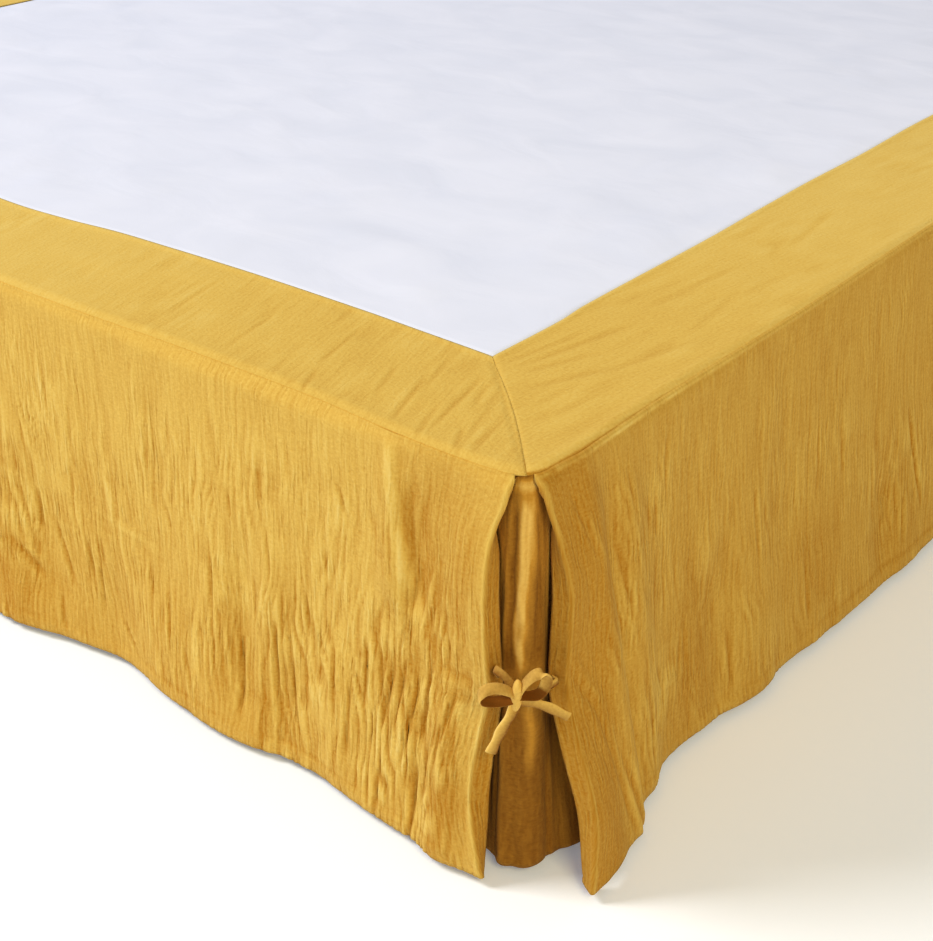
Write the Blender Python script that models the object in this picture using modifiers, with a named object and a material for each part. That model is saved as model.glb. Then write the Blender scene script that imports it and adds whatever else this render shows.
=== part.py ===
"""Bed skirt with tied corner slits, hanging over a plain bed base.

The origin is on the floor under the middle of the part. X runs across the bed, Y along it with the foot
end at -Y, and Z is up. Lengths are in metres.
"""

import math
from collections import namedtuple

import bmesh
import bpy
from mathutils import Matrix, Vector

# ---- driving sizes ---------------------------------------------------------------------------

BED_WIDTH = 1.60            # nominal size of the base and of the mattress on it
BED_LENGTH = 2.00
DECK_HEIGHT = 0.36          # middle of the cloth that lies on the base
DROP = 0.35                 # seam to hem
BAND = 0.141                # width of the border round the white panel, at a corner

CLOTH = 0.0015              # thickness of the double gauze
LINEN = 0.0012              # thickness of the white panel
TAPE = 0.0012               # thickness of a tie's tape
TAPE_WIDTH = 0.009
GAP = 0.0003                # left between pieces that touch
SEAM_GAP = 0.0005           # left between cloth edges that are sewn together

HANG_OUT = 0.0095           # side of the base to the middle of the hanging cloth
INSERT_OUT = 0.003          # side of the base to the middle of a corner insert
SEAM_IN = 0.0045            # hanging cloth back to the seam line
CORNER_ROUND = 0.024        # rounding of the border at the foot corners
SEAM_DIP = 0.0015           # seam below the flat cloth

BASE_DEPTH = 0.20           # height of the upholstered box
BASE_EDGE = 0.012           # rounding of the box
LEG_RADIUS = 0.030
LEG_INSET = 0.075           # side of the base to a leg's axis

RETURN_WIDTH = 0.018        # cloth turned in at a slit
TURN_RADIUS = 0.0017
SLIT_START = 0.024          # usual distance from a corner to a slit's fold
SLIT_REACH = 0.13           # how far along the cloth a slit's shape is felt
INSERT_REACH = 0.125        # half of an insert's width, round the corner
INSERT_ROUND = 0.014        # how the insert turns round the corner

FOOT = "foot"
RIGHT = "right"
LEFT = "left"

# ---- tables ----------------------------------------------------------------------------------

Wave = namedtuple("Wave", "along out")
SlitRow = namedtuple("SlitRow", "height along out turn")
Fold = namedtuple("Fold", "along lean width depth top bottom")
InsertRow = namedtuple("InsertRow", "along top middle hem")
Route = namedtuple("Route", "across out depth")

# How far the hem hangs out of the seam's plane, against the distance from a foot corner.
HEM_FOOT = (
    Wave(0.000, 0.028), Wave(0.030, 0.032), Wave(0.084, 0.028), Wave(0.144, 0.023), Wave(0.210, 0.014),
    Wave(0.264, 0.022), Wave(0.323, 0.027), Wave(0.398, 0.015), Wave(0.473, 0.010), Wave(0.542, 0.017),
    Wave(0.602, 0.031), Wave(0.690, 0.024), Wave(0.800, 0.013), Wave(0.900, 0.023), Wave(1.010, 0.029),
    Wave(1.110, 0.016), Wave(1.200, 0.022), Wave(1.290, 0.014), Wave(1.380, 0.020), Wave(1.460, 0.028),
    Wave(1.540, 0.031), Wave(1.600, 0.028),
)
HEM_RIGHT = (
    Wave(0.000, 0.060), Wave(0.030, 0.063), Wave(0.045, 0.061), Wave(0.093, 0.048), Wave(0.125, 0.032),
    Wave(0.180, 0.016), Wave(0.226, 0.015), Wave(0.263, 0.022), Wave(0.331, 0.031), Wave(0.375, 0.022),
    Wave(0.428, 0.031), Wave(0.527, 0.036), Wave(0.632, 0.040), Wave(0.740, 0.029), Wave(0.850, 0.020),
    Wave(0.960, 0.031), Wave(1.090, 0.036), Wave(1.220, 0.022), Wave(1.340, 0.018), Wave(1.470, 0.031),
    Wave(1.600, 0.038), Wave(1.730, 0.026), Wave(1.860, 0.022), Wave(2.000, 0.034),
)
HEM_LEFT = (
    Wave(0.000, 0.052), Wave(0.040, 0.056), Wave(0.100, 0.044), Wave(0.190, 0.024), Wave(0.280, 0.020),
    Wave(0.370, 0.034), Wave(0.470, 0.040), Wave(0.590, 0.028), Wave(0.710, 0.019), Wave(0.830, 0.029),
    Wave(0.950, 0.038), Wave(1.080, 0.026), Wave(1.200, 0.018), Wave(1.330, 0.028), Wave(1.460, 0.037),
    Wave(1.590, 0.025), Wave(1.720, 0.019), Wave(1.850, 0.030), Wave(2.000, 0.037),
)

# The seam line's small swing in and out of straight along the foot.
SEAM_FOOT = (
    Wave(0.02, 0.000), Wave(0.06, 0.003), Wave(0.13, 0.002), Wave(0.21, -0.003), Wave(0.30, -0.003),
    Wave(0.38, -0.002), Wave(0.48, 0.001), Wave(0.60, 0.001), Wave(0.80, -0.002), Wave(1.00, 0.001),
    Wave(1.25, -0.002), Wave(1.45, 0.002), Wave(1.60, 0.000),
)
SEAM_SIDE = (
    Wave(0.02, 0.000), Wave(0.07, 0.003), Wave(0.17, 0.001), Wave(0.38, 0.003), Wave(0.60, 0.001),
    Wave(0.90, -0.002), Wave(1.20, 0.002), Wave(1.60, -0.001), Wave(2.00, 0.000),
)

# How much wider the border is than at a corner.
EDGE_FOOT = (
    Wave(0.145, 0.000), Wave(0.230, 0.003), Wave(0.284, 0.005), Wave(0.405, 0.006), Wave(0.468, 0.005),
    Wave(0.532, 0.003), Wave(0.600, 0.000), Wave(0.663, -0.007), Wave(0.734, -0.011), Wave(0.820, -0.007),
    Wave(0.930, 0.001), Wave(1.050, 0.005), Wave(1.200, 0.002), Wave(1.330, 0.005), Wave(1.470, 0.000),
)
EDGE_SIDE = (
    Wave(0.145, 0.000), Wave(0.237, -0.001), Wave(0.278, 0.002), Wave(0.487, 0.003), Wave(0.588, 0.006),
    Wave(0.696, 0.008), Wave(0.809, 0.007), Wave(0.950, 0.010), Wave(1.100, 0.007), Wave(1.300, 0.002),
    Wave(1.500, 0.006), Wave(1.700, 0.001), Wave(1.850, 0.005), Wave(2.000, 0.003),
)

# A slit's folded edge, from the seam (height 0) to the hem (height 1). Along is the distance from the
# corner, out is how far the fold stands off the hanging plane, and turn is the angle in degrees by which
# the return is folded round behind.
SLIT_FOOT = (
    SlitRow(0.00, 0.019, 0.000, 179), SlitRow(0.06, 0.021, 0.004, 170), SlitRow(0.11, 0.026, 0.008, 140),
    SlitRow(0.18, 0.028, 0.014, 100), SlitRow(0.28, 0.027, 0.018, 90), SlitRow(0.42, 0.025, 0.018, 90),
    SlitRow(0.52, 0.023, 0.017, 91), SlitRow(0.60, 0.028, 0.019, 78), SlitRow(0.70, 0.033, 0.022, 66),
    SlitRow(0.80, 0.034, 0.025, 70), SlitRow(0.90, 0.029, 0.027, 92), SlitRow(1.00, 0.021, 0.028, 124),
)
SLIT_SIDE = (
    SlitRow(0.00, 0.016, 0.000, 179), SlitRow(0.06, 0.019, 0.004, 172), SlitRow(0.16, 0.025, 0.012, 122),
    SlitRow(0.28, 0.029, 0.019, 90), SlitRow(0.42, 0.027, 0.020, 88), SlitRow(0.52, 0.025, 0.022, 88),
    SlitRow(0.66, 0.023, 0.038, 82), SlitRow(0.82, 0.023, 0.054, 90), SlitRow(1.00, 0.014, 0.060, 124),
)

# Main folds: the place at the seam, the shift of the place from seam to hem, half width, depth (out is
# positive) and the stretch of the drop that they take.
FOLDS_FOOT = (
    Fold(0.060, 0.004, 0.016, 0.0050, 0.45, 1.10), Fold(0.088, 0.002, 0.010, -0.0040, 0.40, 1.05),
    Fold(0.130, -0.018, 0.014, 0.0050, -0.05, 0.48), Fold(0.104, -0.012, 0.012, -0.0045, 0.05, 0.50),
    Fold(0.190, -0.008, 0.022, 0.0050, 0.50, 1.05), Fold(0.246, 0.004, 0.018, -0.0050, 0.62, 1.10),
    Fold(0.286, 0.006, 0.018, -0.0060, 0.35, 1.00), Fold(0.386, 0.004, 0.034, 0.0050, 0.62, 1.15),
    Fold(0.480, -0.010, 0.030, -0.0050, 0.62, 1.10), Fold(0.580, -0.020, 0.040, -0.0050, 0.40, 0.95),
    Fold(0.720, 0.010, 0.030, 0.0050, 0.30, 1.10), Fold(0.860, 0.012, 0.028, -0.0060, 0.35, 1.10),
    Fold(0.990, -0.010, 0.030, 0.0050, 0.20, 0.90), Fold(1.150, 0.008, 0.026, -0.0060, 0.45, 1.10),
    Fold(1.250, -0.010, 0.024, 0.0050, 0.10, 0.70), Fold(1.350, 0.014, 0.022, -0.0050, 0.40, 1.05),
    Fold(1.470, 0.012, 0.016, 0.0050, -0.05, 0.55), Fold(1.520, -0.004, 0.014, -0.0040, 0.40, 1.05),
)
FOLDS_RIGHT = (
    Fold(0.062, 0.040, 0.015, 0.0070, -0.05, 1.10), Fold(0.088, 0.036, 0.011, -0.0055, 0.05, 1.00),
    Fold(0.118, 0.034, 0.017, 0.0060, 0.00, 1.10), Fold(0.240, 0.034, 0.026, -0.0060, 0.45, 1.10),
    Fold(0.372, 0.006, 0.032, 0.0050, 0.55, 1.10), Fold(0.560, 0.010, 0.026, -0.0060, 0.55, 1.05),
    Fold(0.680, 0.016, 0.034, 0.0050, 0.20, 1.10), Fold(0.840, -0.010, 0.030, -0.0060, 0.35, 1.10),
    Fold(1.000, 0.012, 0.034, 0.0050, 0.30, 1.10), Fold(1.160, 0.008, 0.030, -0.0060, 0.50, 1.10),
    Fold(1.320, -0.012, 0.036, 0.0045, 0.10, 0.90), Fold(1.500, 0.010, 0.030, -0.0060, 0.40, 1.10),
    Fold(1.660, 0.012, 0.034, 0.0050, 0.35, 1.10), Fold(1.830, -0.010, 0.028, -0.0055, 0.45, 1.10),
)
FOLDS_LEFT = (
    Fold(0.070, 0.034, 0.017, 0.0055, -0.05, 1.10), Fold(0.104, 0.030, 0.012, -0.0045, 0.10, 1.00),
    Fold(0.170, 0.026, 0.022, 0.0050, 0.20, 1.10), Fold(0.300, 0.014, 0.026, -0.0060, 0.40, 1.10),
    Fold(0.440, 0.010, 0.034, 0.0050, 0.30, 1.05), Fold(0.620, -0.012, 0.028, -0.0060, 0.45, 1.10),
    Fold(0.780, 0.010, 0.034, 0.0050, 0.20, 1.00), Fold(0.920, 0.012, 0.030, -0.0055, 0.40, 1.10),
    Fold(1.070, -0.010, 0.034, 0.0050, 0.35, 1.10), Fold(1.240, 0.008, 0.030, -0.0060, 0.45, 1.10),
    Fold(1.420, 0.012, 0.036, 0.0050, 0.15, 0.95), Fold(1.580, -0.010, 0.030, -0.0060, 0.40, 1.10),
    Fold(1.760, 0.010, 0.034, 0.0050, 0.30, 1.10), Fold(1.900, 0.006, 0.026, -0.0050, 0.45, 1.05),
)

# A corner insert's folds: how far it stands off its own plane, against the distance round the corner
# (foot side negative), at its top edge, at the bow's height and at the hem.
INSERT_FOLDS = (
    InsertRow(-0.125, 0.000, 0.001, 0.008), InsertRow(-0.080, 0.000, 0.000, 0.006),
    InsertRow(-0.045, 0.000, 0.001, 0.007), InsertRow(-0.024, 0.000, -0.001, 0.004),
    InsertRow(-0.012, -0.003, 0.004, 0.010), InsertRow(0.002, -0.003, 0.006, 0.013),
    InsertRow(0.014, 0.000, 0.002, 0.013), InsertRow(0.028, 0.000, -0.001, 0.015),
    InsertRow(0.046, 0.000, 0.002, 0.024), InsertRow(0.070, 0.000, 0.001, 0.020),
    InsertRow(0.100, 0.000, 0.002, 0.018), InsertRow(0.125, 0.000, 0.001, 0.014),
)

# The routes of a tied bow's tapes, seen from in front of the corner: across to the right, out towards the
# front and depth below the seam. The last two run from the knot to the slit's returns, where they are sewn.
LOOP_RIGHT = (
    Route(-0.0075, 0.0095, 0.1690), Route(-0.0030, 0.0120, 0.1585), Route(0.0030, 0.0140, 0.1500),
    Route(0.0092, 0.0150, 0.1478), Route(0.0128, 0.0150, 0.1525), Route(0.0118, 0.0145, 0.1600),
    Route(0.0080, 0.0135, 0.1668), Route(0.0020, 0.0115, 0.1702), Route(-0.0070, 0.0095, 0.1712),
)
LOOP_LEFT = (
    Route(-0.0085, 0.0095, 0.1690), Route(-0.0150, 0.0125, 0.1630), Route(-0.0235, 0.0140, 0.1590),
    Route(-0.0315, 0.0150, 0.1592), Route(-0.0362, 0.0152, 0.1638), Route(-0.0345, 0.0145, 0.1688),
    Route(-0.0270, 0.0130, 0.1718), Route(-0.0180, 0.0115, 0.1725), Route(-0.0090, 0.0095, 0.1722),
)
TAIL_LEFT = (
    Route(-0.0085, 0.0095, 0.1760), Route(-0.0125, 0.0125, 0.1850), Route(-0.0175, 0.0125, 0.1950),
    Route(-0.0225, 0.0120, 0.2070), Route(-0.0272, 0.0110, 0.2205),
)
TAIL_RIGHT = (
    Route(-0.0075, 0.0090, 0.1750), Route(0.0030, 0.0095, 0.1775), Route(0.0120, 0.0105, 0.1805),
    Route(0.0213, 0.0120, 0.1850), Route(0.0305, 0.0140, 0.1900),
)
ROOT_LEFT = (
    Route(-0.0090, 0.0090, 0.1660), Route(-0.0135, 0.0085, 0.1585), Route(-0.0185, 0.0070, 0.1525),
    Route(-0.0230, 0.0030, 0.1505), Route(-0.0225, -0.0025, 0.1550), Route(-0.0205, -0.0063, 0.1600),
    Route(-0.0190, -0.0078, 0.1630),
)
ROOT_RIGHT = (
    Route(-0.0070, 0.0085, 0.1740), Route(0.0030, 0.0050, 0.1740), Route(0.0120, 0.0015, 0.1730),
    Route(0.0190, -0.0010, 0.1710), Route(0.0232, -0.0034, 0.1700), Route(0.0238, -0.0054, 0.1697),
    Route(0.0213, -0.0081, 0.1695),
)
KNOT = Route(-0.0084, 0.0100, 0.1700)
KNOT_RADII = (0.0048, 0.0052, 0.0150)
# Which way a loop's tape lies across its width, from the knot round the loop and back.
LOOP_RIGHT_WIDTH = (
    Route(0.0, 0.90, 0.45), Route(0.0, 0.80, 0.60), Route(1.0, 0.45, 0.0), Route(0.3, 0.90, 0.30),
    Route(0.0, 0.95, 0.30),
)
LOOP_LEFT_WIDTH = (Route(0.0, 0.80, 0.60), Route(0.0, 0.80, 0.60), Route(0.0, 0.80, 0.60))

# ---- small helpers ---------------------------------------------------------------------------


def smooth(value):
    value = min(max(value, 0.0), 1.0)
    return value * value * (3.0 - 2.0 * value)


def read_curve(pairs, place):
    """Value of a smooth curve through (place, value) pairs, level past both ends."""
    if place <= pairs[0][0]:
        return pairs[0][1]
    if place >= pairs[-1][0]:
        return pairs[-1][1]
    for index in range(len(pairs) - 1):
        if place <= pairs[index + 1][0]:
            break
    (x1, y1), (x2, y2) = pairs[index], pairs[index + 1]
    x0, y0 = pairs[max(index - 1, 0)]
    x3, y3 = pairs[min(index + 2, len(pairs) - 1)]
    slope1 = (y2 - y0) / (x2 - x0)
    slope2 = (y3 - y1) / (x3 - x1)
    step = x2 - x1
    t = (place - x1) / step
    return (
        (2 * t**3 - 3 * t**2 + 1) * y1
        + (t**3 - 2 * t**2 + t) * step * slope1
        + (3 * t**2 - 2 * t**3) * y2
        + (t**3 - t**2) * step * slope2
    )


def read_table(rows, column, place):
    """One column of a table, read against its first column."""
    return read_curve([(row[0], getattr(row, column)) for row in rows], place)


# ---- places worked out from the driving sizes --------------------------------------------------

SIDE_X = BED_WIDTH / 2                              # side faces of the base
HANG_X = SIDE_X + HANG_OUT                          # plane in which the side cloth hangs
FOOT_SPAN = 2 * HANG_X                              # corner to corner along the foot
HEAD_IN = 0.010                                     # cloth stops this far short of the base's head end
SIDE_SPAN = BED_LENGTH + HANG_OUT - HEAD_IN         # foot corner to the head end of the cloth
FLARE = 0.036                                       # how far the foot's hem hangs out
FOOT_Y = -(BED_LENGTH + HANG_OUT + FLARE) / 2 + FLARE   # plane in which the foot cloth hangs
BASE_FOOT_Y = FOOT_Y + HANG_OUT
BASE_HEAD_Y = BASE_FOOT_Y + BED_LENGTH
CLOTH_HEAD_Y = FOOT_Y + SIDE_SPAN

BASE_TOP = DECK_HEIGHT - CLOTH / 2 - GAP
BASE_BOTTOM = BASE_TOP - BASE_DEPTH
SEAM_HEIGHT = DECK_HEIGHT - SEAM_DIP
LINEN_HEIGHT = BASE_TOP + GAP + LINEN / 2

SEAM_BACK = CLOTH / 2 + SEAM_GAP    # middle of a drop's top edge back to the edge of its band
CORNER_PASSES = 20          # steps that close in on where a band's edge meets its mitre
BEND_DEPTH = 0.009          # the hanging cloth is upright this far below the seam
TUCK = 0.0115               # a return starts this far below the seam
EDGE_BLEND = 0.060          # along a drop, from a slit's own shape to the hem table's
HANG_POWER = 1.35           # how the cloth swings out from seam to hem
BAND_ROLL = 0.009           # outer strip of a band that dips to the seam
INSERT_TOP = 0.009          # top of an insert below the seam, behind the drops
TAB_TOP = 0.0016            # top of an insert below the seam, in the slit
TAB_FLAT = 0.008            # half of the tab's width, and of its sloping shoulders
TAB_FADE = 0.0075
TOP_FADE = 0.05             # the shape of an insert's top edge ends this far down
INSERT_DROP = 0.349         # seam to an insert's hem

DROP_ROWS = (0.0, 0.012, 0.034, 0.14, 0.30, 0.46, 0.56, 0.78, 1.0)
INSERT_ROWS = (0.0, 0.05, 0.16, 0.32, 0.50, 0.72, 1.0)
ARC_STEPS = 3               # facets round a slit's fold
RETURN_STEPS = (1.0, 0.5)   # columns across a return, as parts of its flat width
FINE_STEP = 0.0095          # column spacing near a slit and elsewhere
COARSE_STEP = 0.029

MUSTARD = (0.68, 0.38, 0.07)
WHITE = (0.86, 0.86, 0.90)
TICKING = (0.62, 0.60, 0.57)
BEECH = (0.56, 0.36, 0.20)


def seam_in(side, along, span):
    """How far the seam lies inside the hanging plane, rounded off at a foot corner."""
    swing = SEAM_FOOT if side == FOOT else SEAM_SIDE
    inward = SEAM_IN - read_table(swing, "out", along)
    ends = (along, span - along) if side == FOOT else (along,)
    for end in ends:
        short = CORNER_ROUND - (end - SEAM_IN)
        if short > 0.0:
            short = min(short, CORNER_ROUND * 0.75)
            inward += CORNER_ROUND - math.sqrt(CORNER_ROUND**2 - short**2)
    return inward


def to_world(side, along, out, z):
    """A place on one side of the bed. The foot runs from its right corner to its left one."""
    if side == FOOT:
        return Vector((HANG_X - along, FOOT_Y - out, z))
    if side == RIGHT:
        return Vector((HANG_X + out, FOOT_Y + along, z))
    return Vector((-HANG_X - out, FOOT_Y + along, z))


# ---- hanging cloth -------------------------------------------------------------------------------


def fold_out(folds, along, height):
    total = 0.0
    for fold in folds:
        centre = fold.along + fold.lean * height
        reach = (along - centre) / fold.width
        if abs(reach) < 3.0:
            window = smooth((height - fold.top) / 0.22) * smooth((fold.bottom - height) / 0.15)
            total += fold.depth * math.exp(-reach * reach) * window
    return total


def bend_in(side, along, depth, span):
    """The top of a drop rolls in to its seam."""
    return seam_in(side, along, span) * (1.0 - smooth(depth / BEND_DEPTH))


def slit_section(slit, height, part, amount):
    """Place (along, out) on a slit's fold or return: part is arc or flat, amount runs from 0 to 1."""
    along = read_table(slit, "along", height)
    out = read_table(slit, "out", height)
    turn = math.radians(read_table(slit, "turn", height))
    angle = turn * amount if part == "arc" else turn
    flat = (RETURN_WIDTH - TURN_RADIUS * turn) * (amount if part == "flat" else 0.0)
    return (
        along - TURN_RADIUS * math.sin(angle) - flat * math.cos(angle),
        out - TURN_RADIUS * (1.0 - math.cos(angle)) - flat * math.sin(angle),
    )


def main_section(hem, folds, slit, place, height):
    """Place (along, out) on the flat of a drop, measured from the nearest slit's usual fold."""
    past = place - SLIT_START
    along = place
    out = read_table(hem, "out", place) * height**HANG_POWER
    if slit and past < SLIT_REACH:
        slit_along = read_table(slit, "along", height)
        slit_out = read_table(slit, "out", height)
        along = slit_along + past + (SLIT_START - slit_along) * smooth(past / SLIT_REACH)
        out = slit_out + (out - slit_out) * smooth(past / EDGE_BLEND)
    quiet = smooth(past / 0.02) if slit else 1.0
    return along, out + quiet * fold_out(folds, along, height)


def column_places(start, end):
    """Places along a drop, fine near a slit and coarse elsewhere."""
    places = [start]
    while places[-1] < end - COARSE_STEP * 0.6:
        from_slit = places[-1] - SLIT_START
        step = FINE_STEP + (COARSE_STEP - FINE_STEP) * smooth((from_slit - 0.09) / 0.08)
        places.append(min(places[-1] + step, end))
    if places[-1] < end:
        places.append(end)
    return places


def slit_columns():
    """Columns from a return's free edge to the middle of its fold."""
    columns = [("flat", amount) for amount in RETURN_STEPS]
    columns += [("arc", step / ARC_STEPS) for step in range(ARC_STEPS, 0, -1)]
    return columns


def build_drop(name, side, hem, folds, span):
    """One hanging panel, with a slit at its foot corner and, on the foot, at both ends."""
    slit = SLIT_FOOT if side == FOOT else SLIT_SIDE
    half = span / 2 if side == FOOT else span
    columns = slit_columns() + [("main", place) for place in column_places(SLIT_START, half)]
    if side == FOOT:
        columns += [("far " + part, amount) for part, amount in reversed(columns[:-1])]

    mirrored_folds = [fold._replace(along=span - fold.along, lean=-fold.lean) for fold in folds]
    mirrored_hem = [Wave(span - wave.along, wave.out) for wave in reversed(hem)]
    points = []
    for height in DROP_ROWS:
        for part, amount in columns:
            far = part.startswith("far ")
            part = part.removeprefix("far ")
            depth = DROP * height
            if part == "main":
                rows, bumps = (mirrored_hem, mirrored_folds) if far else (hem, folds)
                along, out = main_section(rows, bumps, slit, amount, height)
            else:
                along, out = slit_section(slit, height, part, amount)
                behind = amount if part == "arc" else 1.0
                depth = max(depth, TUCK * behind + 0.4 * depth)
            if far:
                along = span - along
            out -= bend_in(side, min(max(along, 0.0), span), depth, span)
            points.append(to_world(side, along, out, SEAM_HEIGHT - depth))
    return add_sheet(name, points, len(columns), CLOTH, MUSTARD)


# ---- flat cloth ----------------------------------------------------------------------------------


def band_edges(side, span):
    """A border strip's outer and inner edge, as places (along, inward)."""
    corner = SEAM_IN + SEAM_BACK
    for _ in range(CORNER_PASSES):
        corner = (corner + seam_in(side, corner, span) + SEAM_BACK) / 2
    places = column_places(corner, span / 2 if side == FOOT else span)
    if side == FOOT:
        places += [span - place for place in reversed(places[:-1])]
    outer = [(place, seam_in(side, place, span) + SEAM_BACK) for place in places]

    start = BAND + SEAM_IN
    end = span - start if side == FOOT else span
    inner = []
    for place in places:
        along = start + (end - start) * (place - places[0]) / (places[-1] - places[0])
        inner.append((along, start + read_table(EDGE_FOOT if side == FOOT else EDGE_SIDE, "out", along)))
    return outer, inner


def build_band(name, side, span):
    """A border strip, mitred where it meets its neighbour at a foot corner."""
    widths = (0.0, 1.0 - BAND_ROLL / BAND, 1.0)
    mitre = math.sqrt(2.0) * SEAM_GAP / 2
    outer, inner = band_edges(side, span)
    points = []
    for width in widths:
        for place, edge_place in zip(outer, inner, strict=True):
            along = edge_place[0] + (place[0] - edge_place[0]) * width
            inward = edge_place[1] + (place[1] - edge_place[1]) * width
            if place == outer[0]:
                along += mitre
            if side == FOOT and place == outer[-1]:
                along -= mitre
            dip = SEAM_DIP if width == 1.0 else 0.0
            points.append(to_world(side, along, -inward, DECK_HEIGHT - dip))
    return add_sheet(name, points, len(outer), CLOTH, MUSTARD)


def build_deck():
    """The white panel, cut to the inner edges of the bands."""
    sides = {side: band_edges(side, span)[1] for side, span in ((FOOT, FOOT_SPAN), (RIGHT, SIDE_SPAN))}
    first, last = sides[FOOT][0], sides[FOOT][-1]
    foot = [(first[0] + SEAM_GAP, first[1])] + sides[FOOT][1:-1] + [(last[0] - SEAM_GAP, last[1])]
    outline = [to_world(FOOT, along, -inward - SEAM_GAP, 0.0) for along, inward in foot]
    outline += [to_world(LEFT, along, -inward - SEAM_GAP, 0.0) for along, inward in sides[RIGHT][1:]]
    outline += [to_world(RIGHT, along, -inward - SEAM_GAP, 0.0) for along, inward in reversed(sides[RIGHT][1:])]

    panel = bpy.data.curves.new("deck outline", "CURVE")
    panel.dimensions = "2D"
    panel.fill_mode = "BOTH"
    panel.extrude = LINEN / 2
    spline = panel.splines.new("POLY")
    spline.points.add(len(outline) - 1)
    spline.use_cyclic_u = True
    for point, place in zip(spline.points, outline, strict=True):
        point.co = (*place, 1.0)
    deck = bpy.data.objects.new("deck", panel)
    deck.location.z = LINEN_HEIGHT
    bpy.context.scene.collection.objects.link(deck)
    bpy.context.view_layer.objects.active = deck
    deck.select_set(True)
    bpy.ops.object.convert(target="MESH")
    bpy.ops.object.mode_set(mode="EDIT")
    bpy.ops.mesh.select_all(action="SELECT")
    bpy.ops.mesh.remove_doubles(threshold=0.0001)
    bpy.ops.object.mode_set(mode="OBJECT")
    deck.select_set(False)
    return finish_part("deck", WHITE)


# ---- corner inserts --------------------------------------------------------------------------------


def insert_point(side, place, height):
    """A place on a corner insert: round the base's corner, then out by its folds."""
    top = read_table(INSERT_FOLDS, "top", place)
    middle = read_table(INSERT_FOLDS, "middle", place)
    hem = read_table(INSERT_FOLDS, "hem", place)
    fold = read_curve([(0.0, 0.0), (0.5, middle), (1.0, hem)], height)
    fold += top * (1.0 - smooth(height / TOP_FADE))
    inward = HANG_OUT - INSERT_OUT
    quarter = INSERT_ROUND * math.pi / 4
    beyond = max(abs(place) - quarter, 0.0)
    angle = math.pi / 4 * min(max(place / quarter, -1.0), 1.0)
    reach = INSERT_ROUND + fold
    centre = inward + INSERT_ROUND
    across_foot = centre - reach * math.sin(math.pi / 4 + angle)
    across_side = centre - reach * math.cos(math.pi / 4 + angle)
    if place < 0:
        across_foot += beyond
    else:
        across_side += beyond
    x = HANG_X - across_foot
    if side == LEFT:
        x = -x
    start = TAB_TOP + (INSERT_TOP - TAB_TOP) * smooth((abs(place) - TAB_FLAT) / TAB_FADE)
    z = SEAM_HEIGHT - start - (INSERT_DROP - start) * height
    return Vector((x, FOOT_Y + across_side, z))


def build_insert(name, side):
    steps = 11
    places = [INSERT_REACH * math.copysign((abs(step) / steps) ** 1.6, step) for step in range(-steps, steps + 1)]
    points = [insert_point(side, place, height) for height in INSERT_ROWS for place in places]
    return add_sheet(name, points, len(places), CLOTH, MUSTARD)


# ---- tied bows -------------------------------------------------------------------------------------


def corner_place(side, across, out, depth):
    """A place given as seen from in front of a foot corner. The left corner is the right one's mirror."""
    from_side = (-across - out) / math.sqrt(2.0)
    from_foot = (across - out) / math.sqrt(2.0)
    x = HANG_X - from_side
    if side == LEFT:
        x = -x
    return Vector((x, FOOT_Y + from_foot, SEAM_HEIGHT - depth))


def route_place(route, share):
    """A place on the smooth curve through a route's points, share running from 0 to 1."""
    stops = [index / (len(route) - 1) for index in range(len(route))]
    return Vector([read_curve(list(zip(stops, [row[axis] for row in route])), share) for axis in range(3)])


def tape_points(side, route, steps, widths=None):
    """Two edges and a middle line of a tape. Its flat faces the front, or lies across as widths say."""
    front = Vector((0.0, 1.0, 0.0))
    lines = {-1.0: [], 0.0: [], 1.0: []}
    breadth = None
    for step in range(steps + 1):
        share = step / steps
        place = route_place(route, share)
        ahead = route_place(route, min(share + 0.02, 1.0)) - route_place(route, max(share - 0.02, 0.0))
        ahead.normalize()
        if widths:
            breadth = route_place(widths, share)
        elif breadth is None:
            breadth = ahead.cross(front)
        breadth -= ahead * breadth.dot(ahead)
        breadth.normalize()
        for edge, line in lines.items():
            line.append(corner_place(side, *(place + breadth * edge * TAPE_WIDTH / 2)))
    return [point for line in lines.values() for point in line]


def build_tie(name, side):
    """A tied bow: the knot with the tapes joined to it, one solid."""
    knot = corner_place(side, *KNOT)
    bpy.ops.mesh.primitive_uv_sphere_add(segments=12, ring_count=8, radius=1.0)
    turn = math.radians(45.0 if side == RIGHT else -45.0)
    for vertex in bpy.context.object.data.vertices:
        across, out, depth = (vertex.co[axis] * KNOT_RADII[axis] for axis in range(3))
        vertex.co = (across * math.cos(turn) + out * math.sin(turn), across * math.sin(turn) - out * math.cos(turn),
                     depth)
    bpy.context.object.data.transform(Matrix.Translation(knot))
    tie = finish_part(name, MUSTARD)
    tapes = (
        ("loop_a", LOOP_RIGHT, 12, LOOP_RIGHT_WIDTH), ("loop_b", LOOP_LEFT, 12, LOOP_LEFT_WIDTH),
        ("tail_a", TAIL_RIGHT, 6, None), ("tail_b", TAIL_LEFT, 6, None),
        ("root_a", ROOT_RIGHT, 7, None), ("root_b", ROOT_LEFT, 8, None),
    )
    for label, route, steps, widths in tapes:
        points = tape_points(side, route, steps, widths)
        tape = add_sheet(f"{name}_{label}", points, steps + 1, TAPE, MUSTARD)
        make_cutter(tape)
        union = tie.modifiers.new(f"join {label}", "BOOLEAN")
        union.operation = "UNION"
        union.object = tape
    return tie


# ---- bed base --------------------------------------------------------------------------------------


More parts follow.
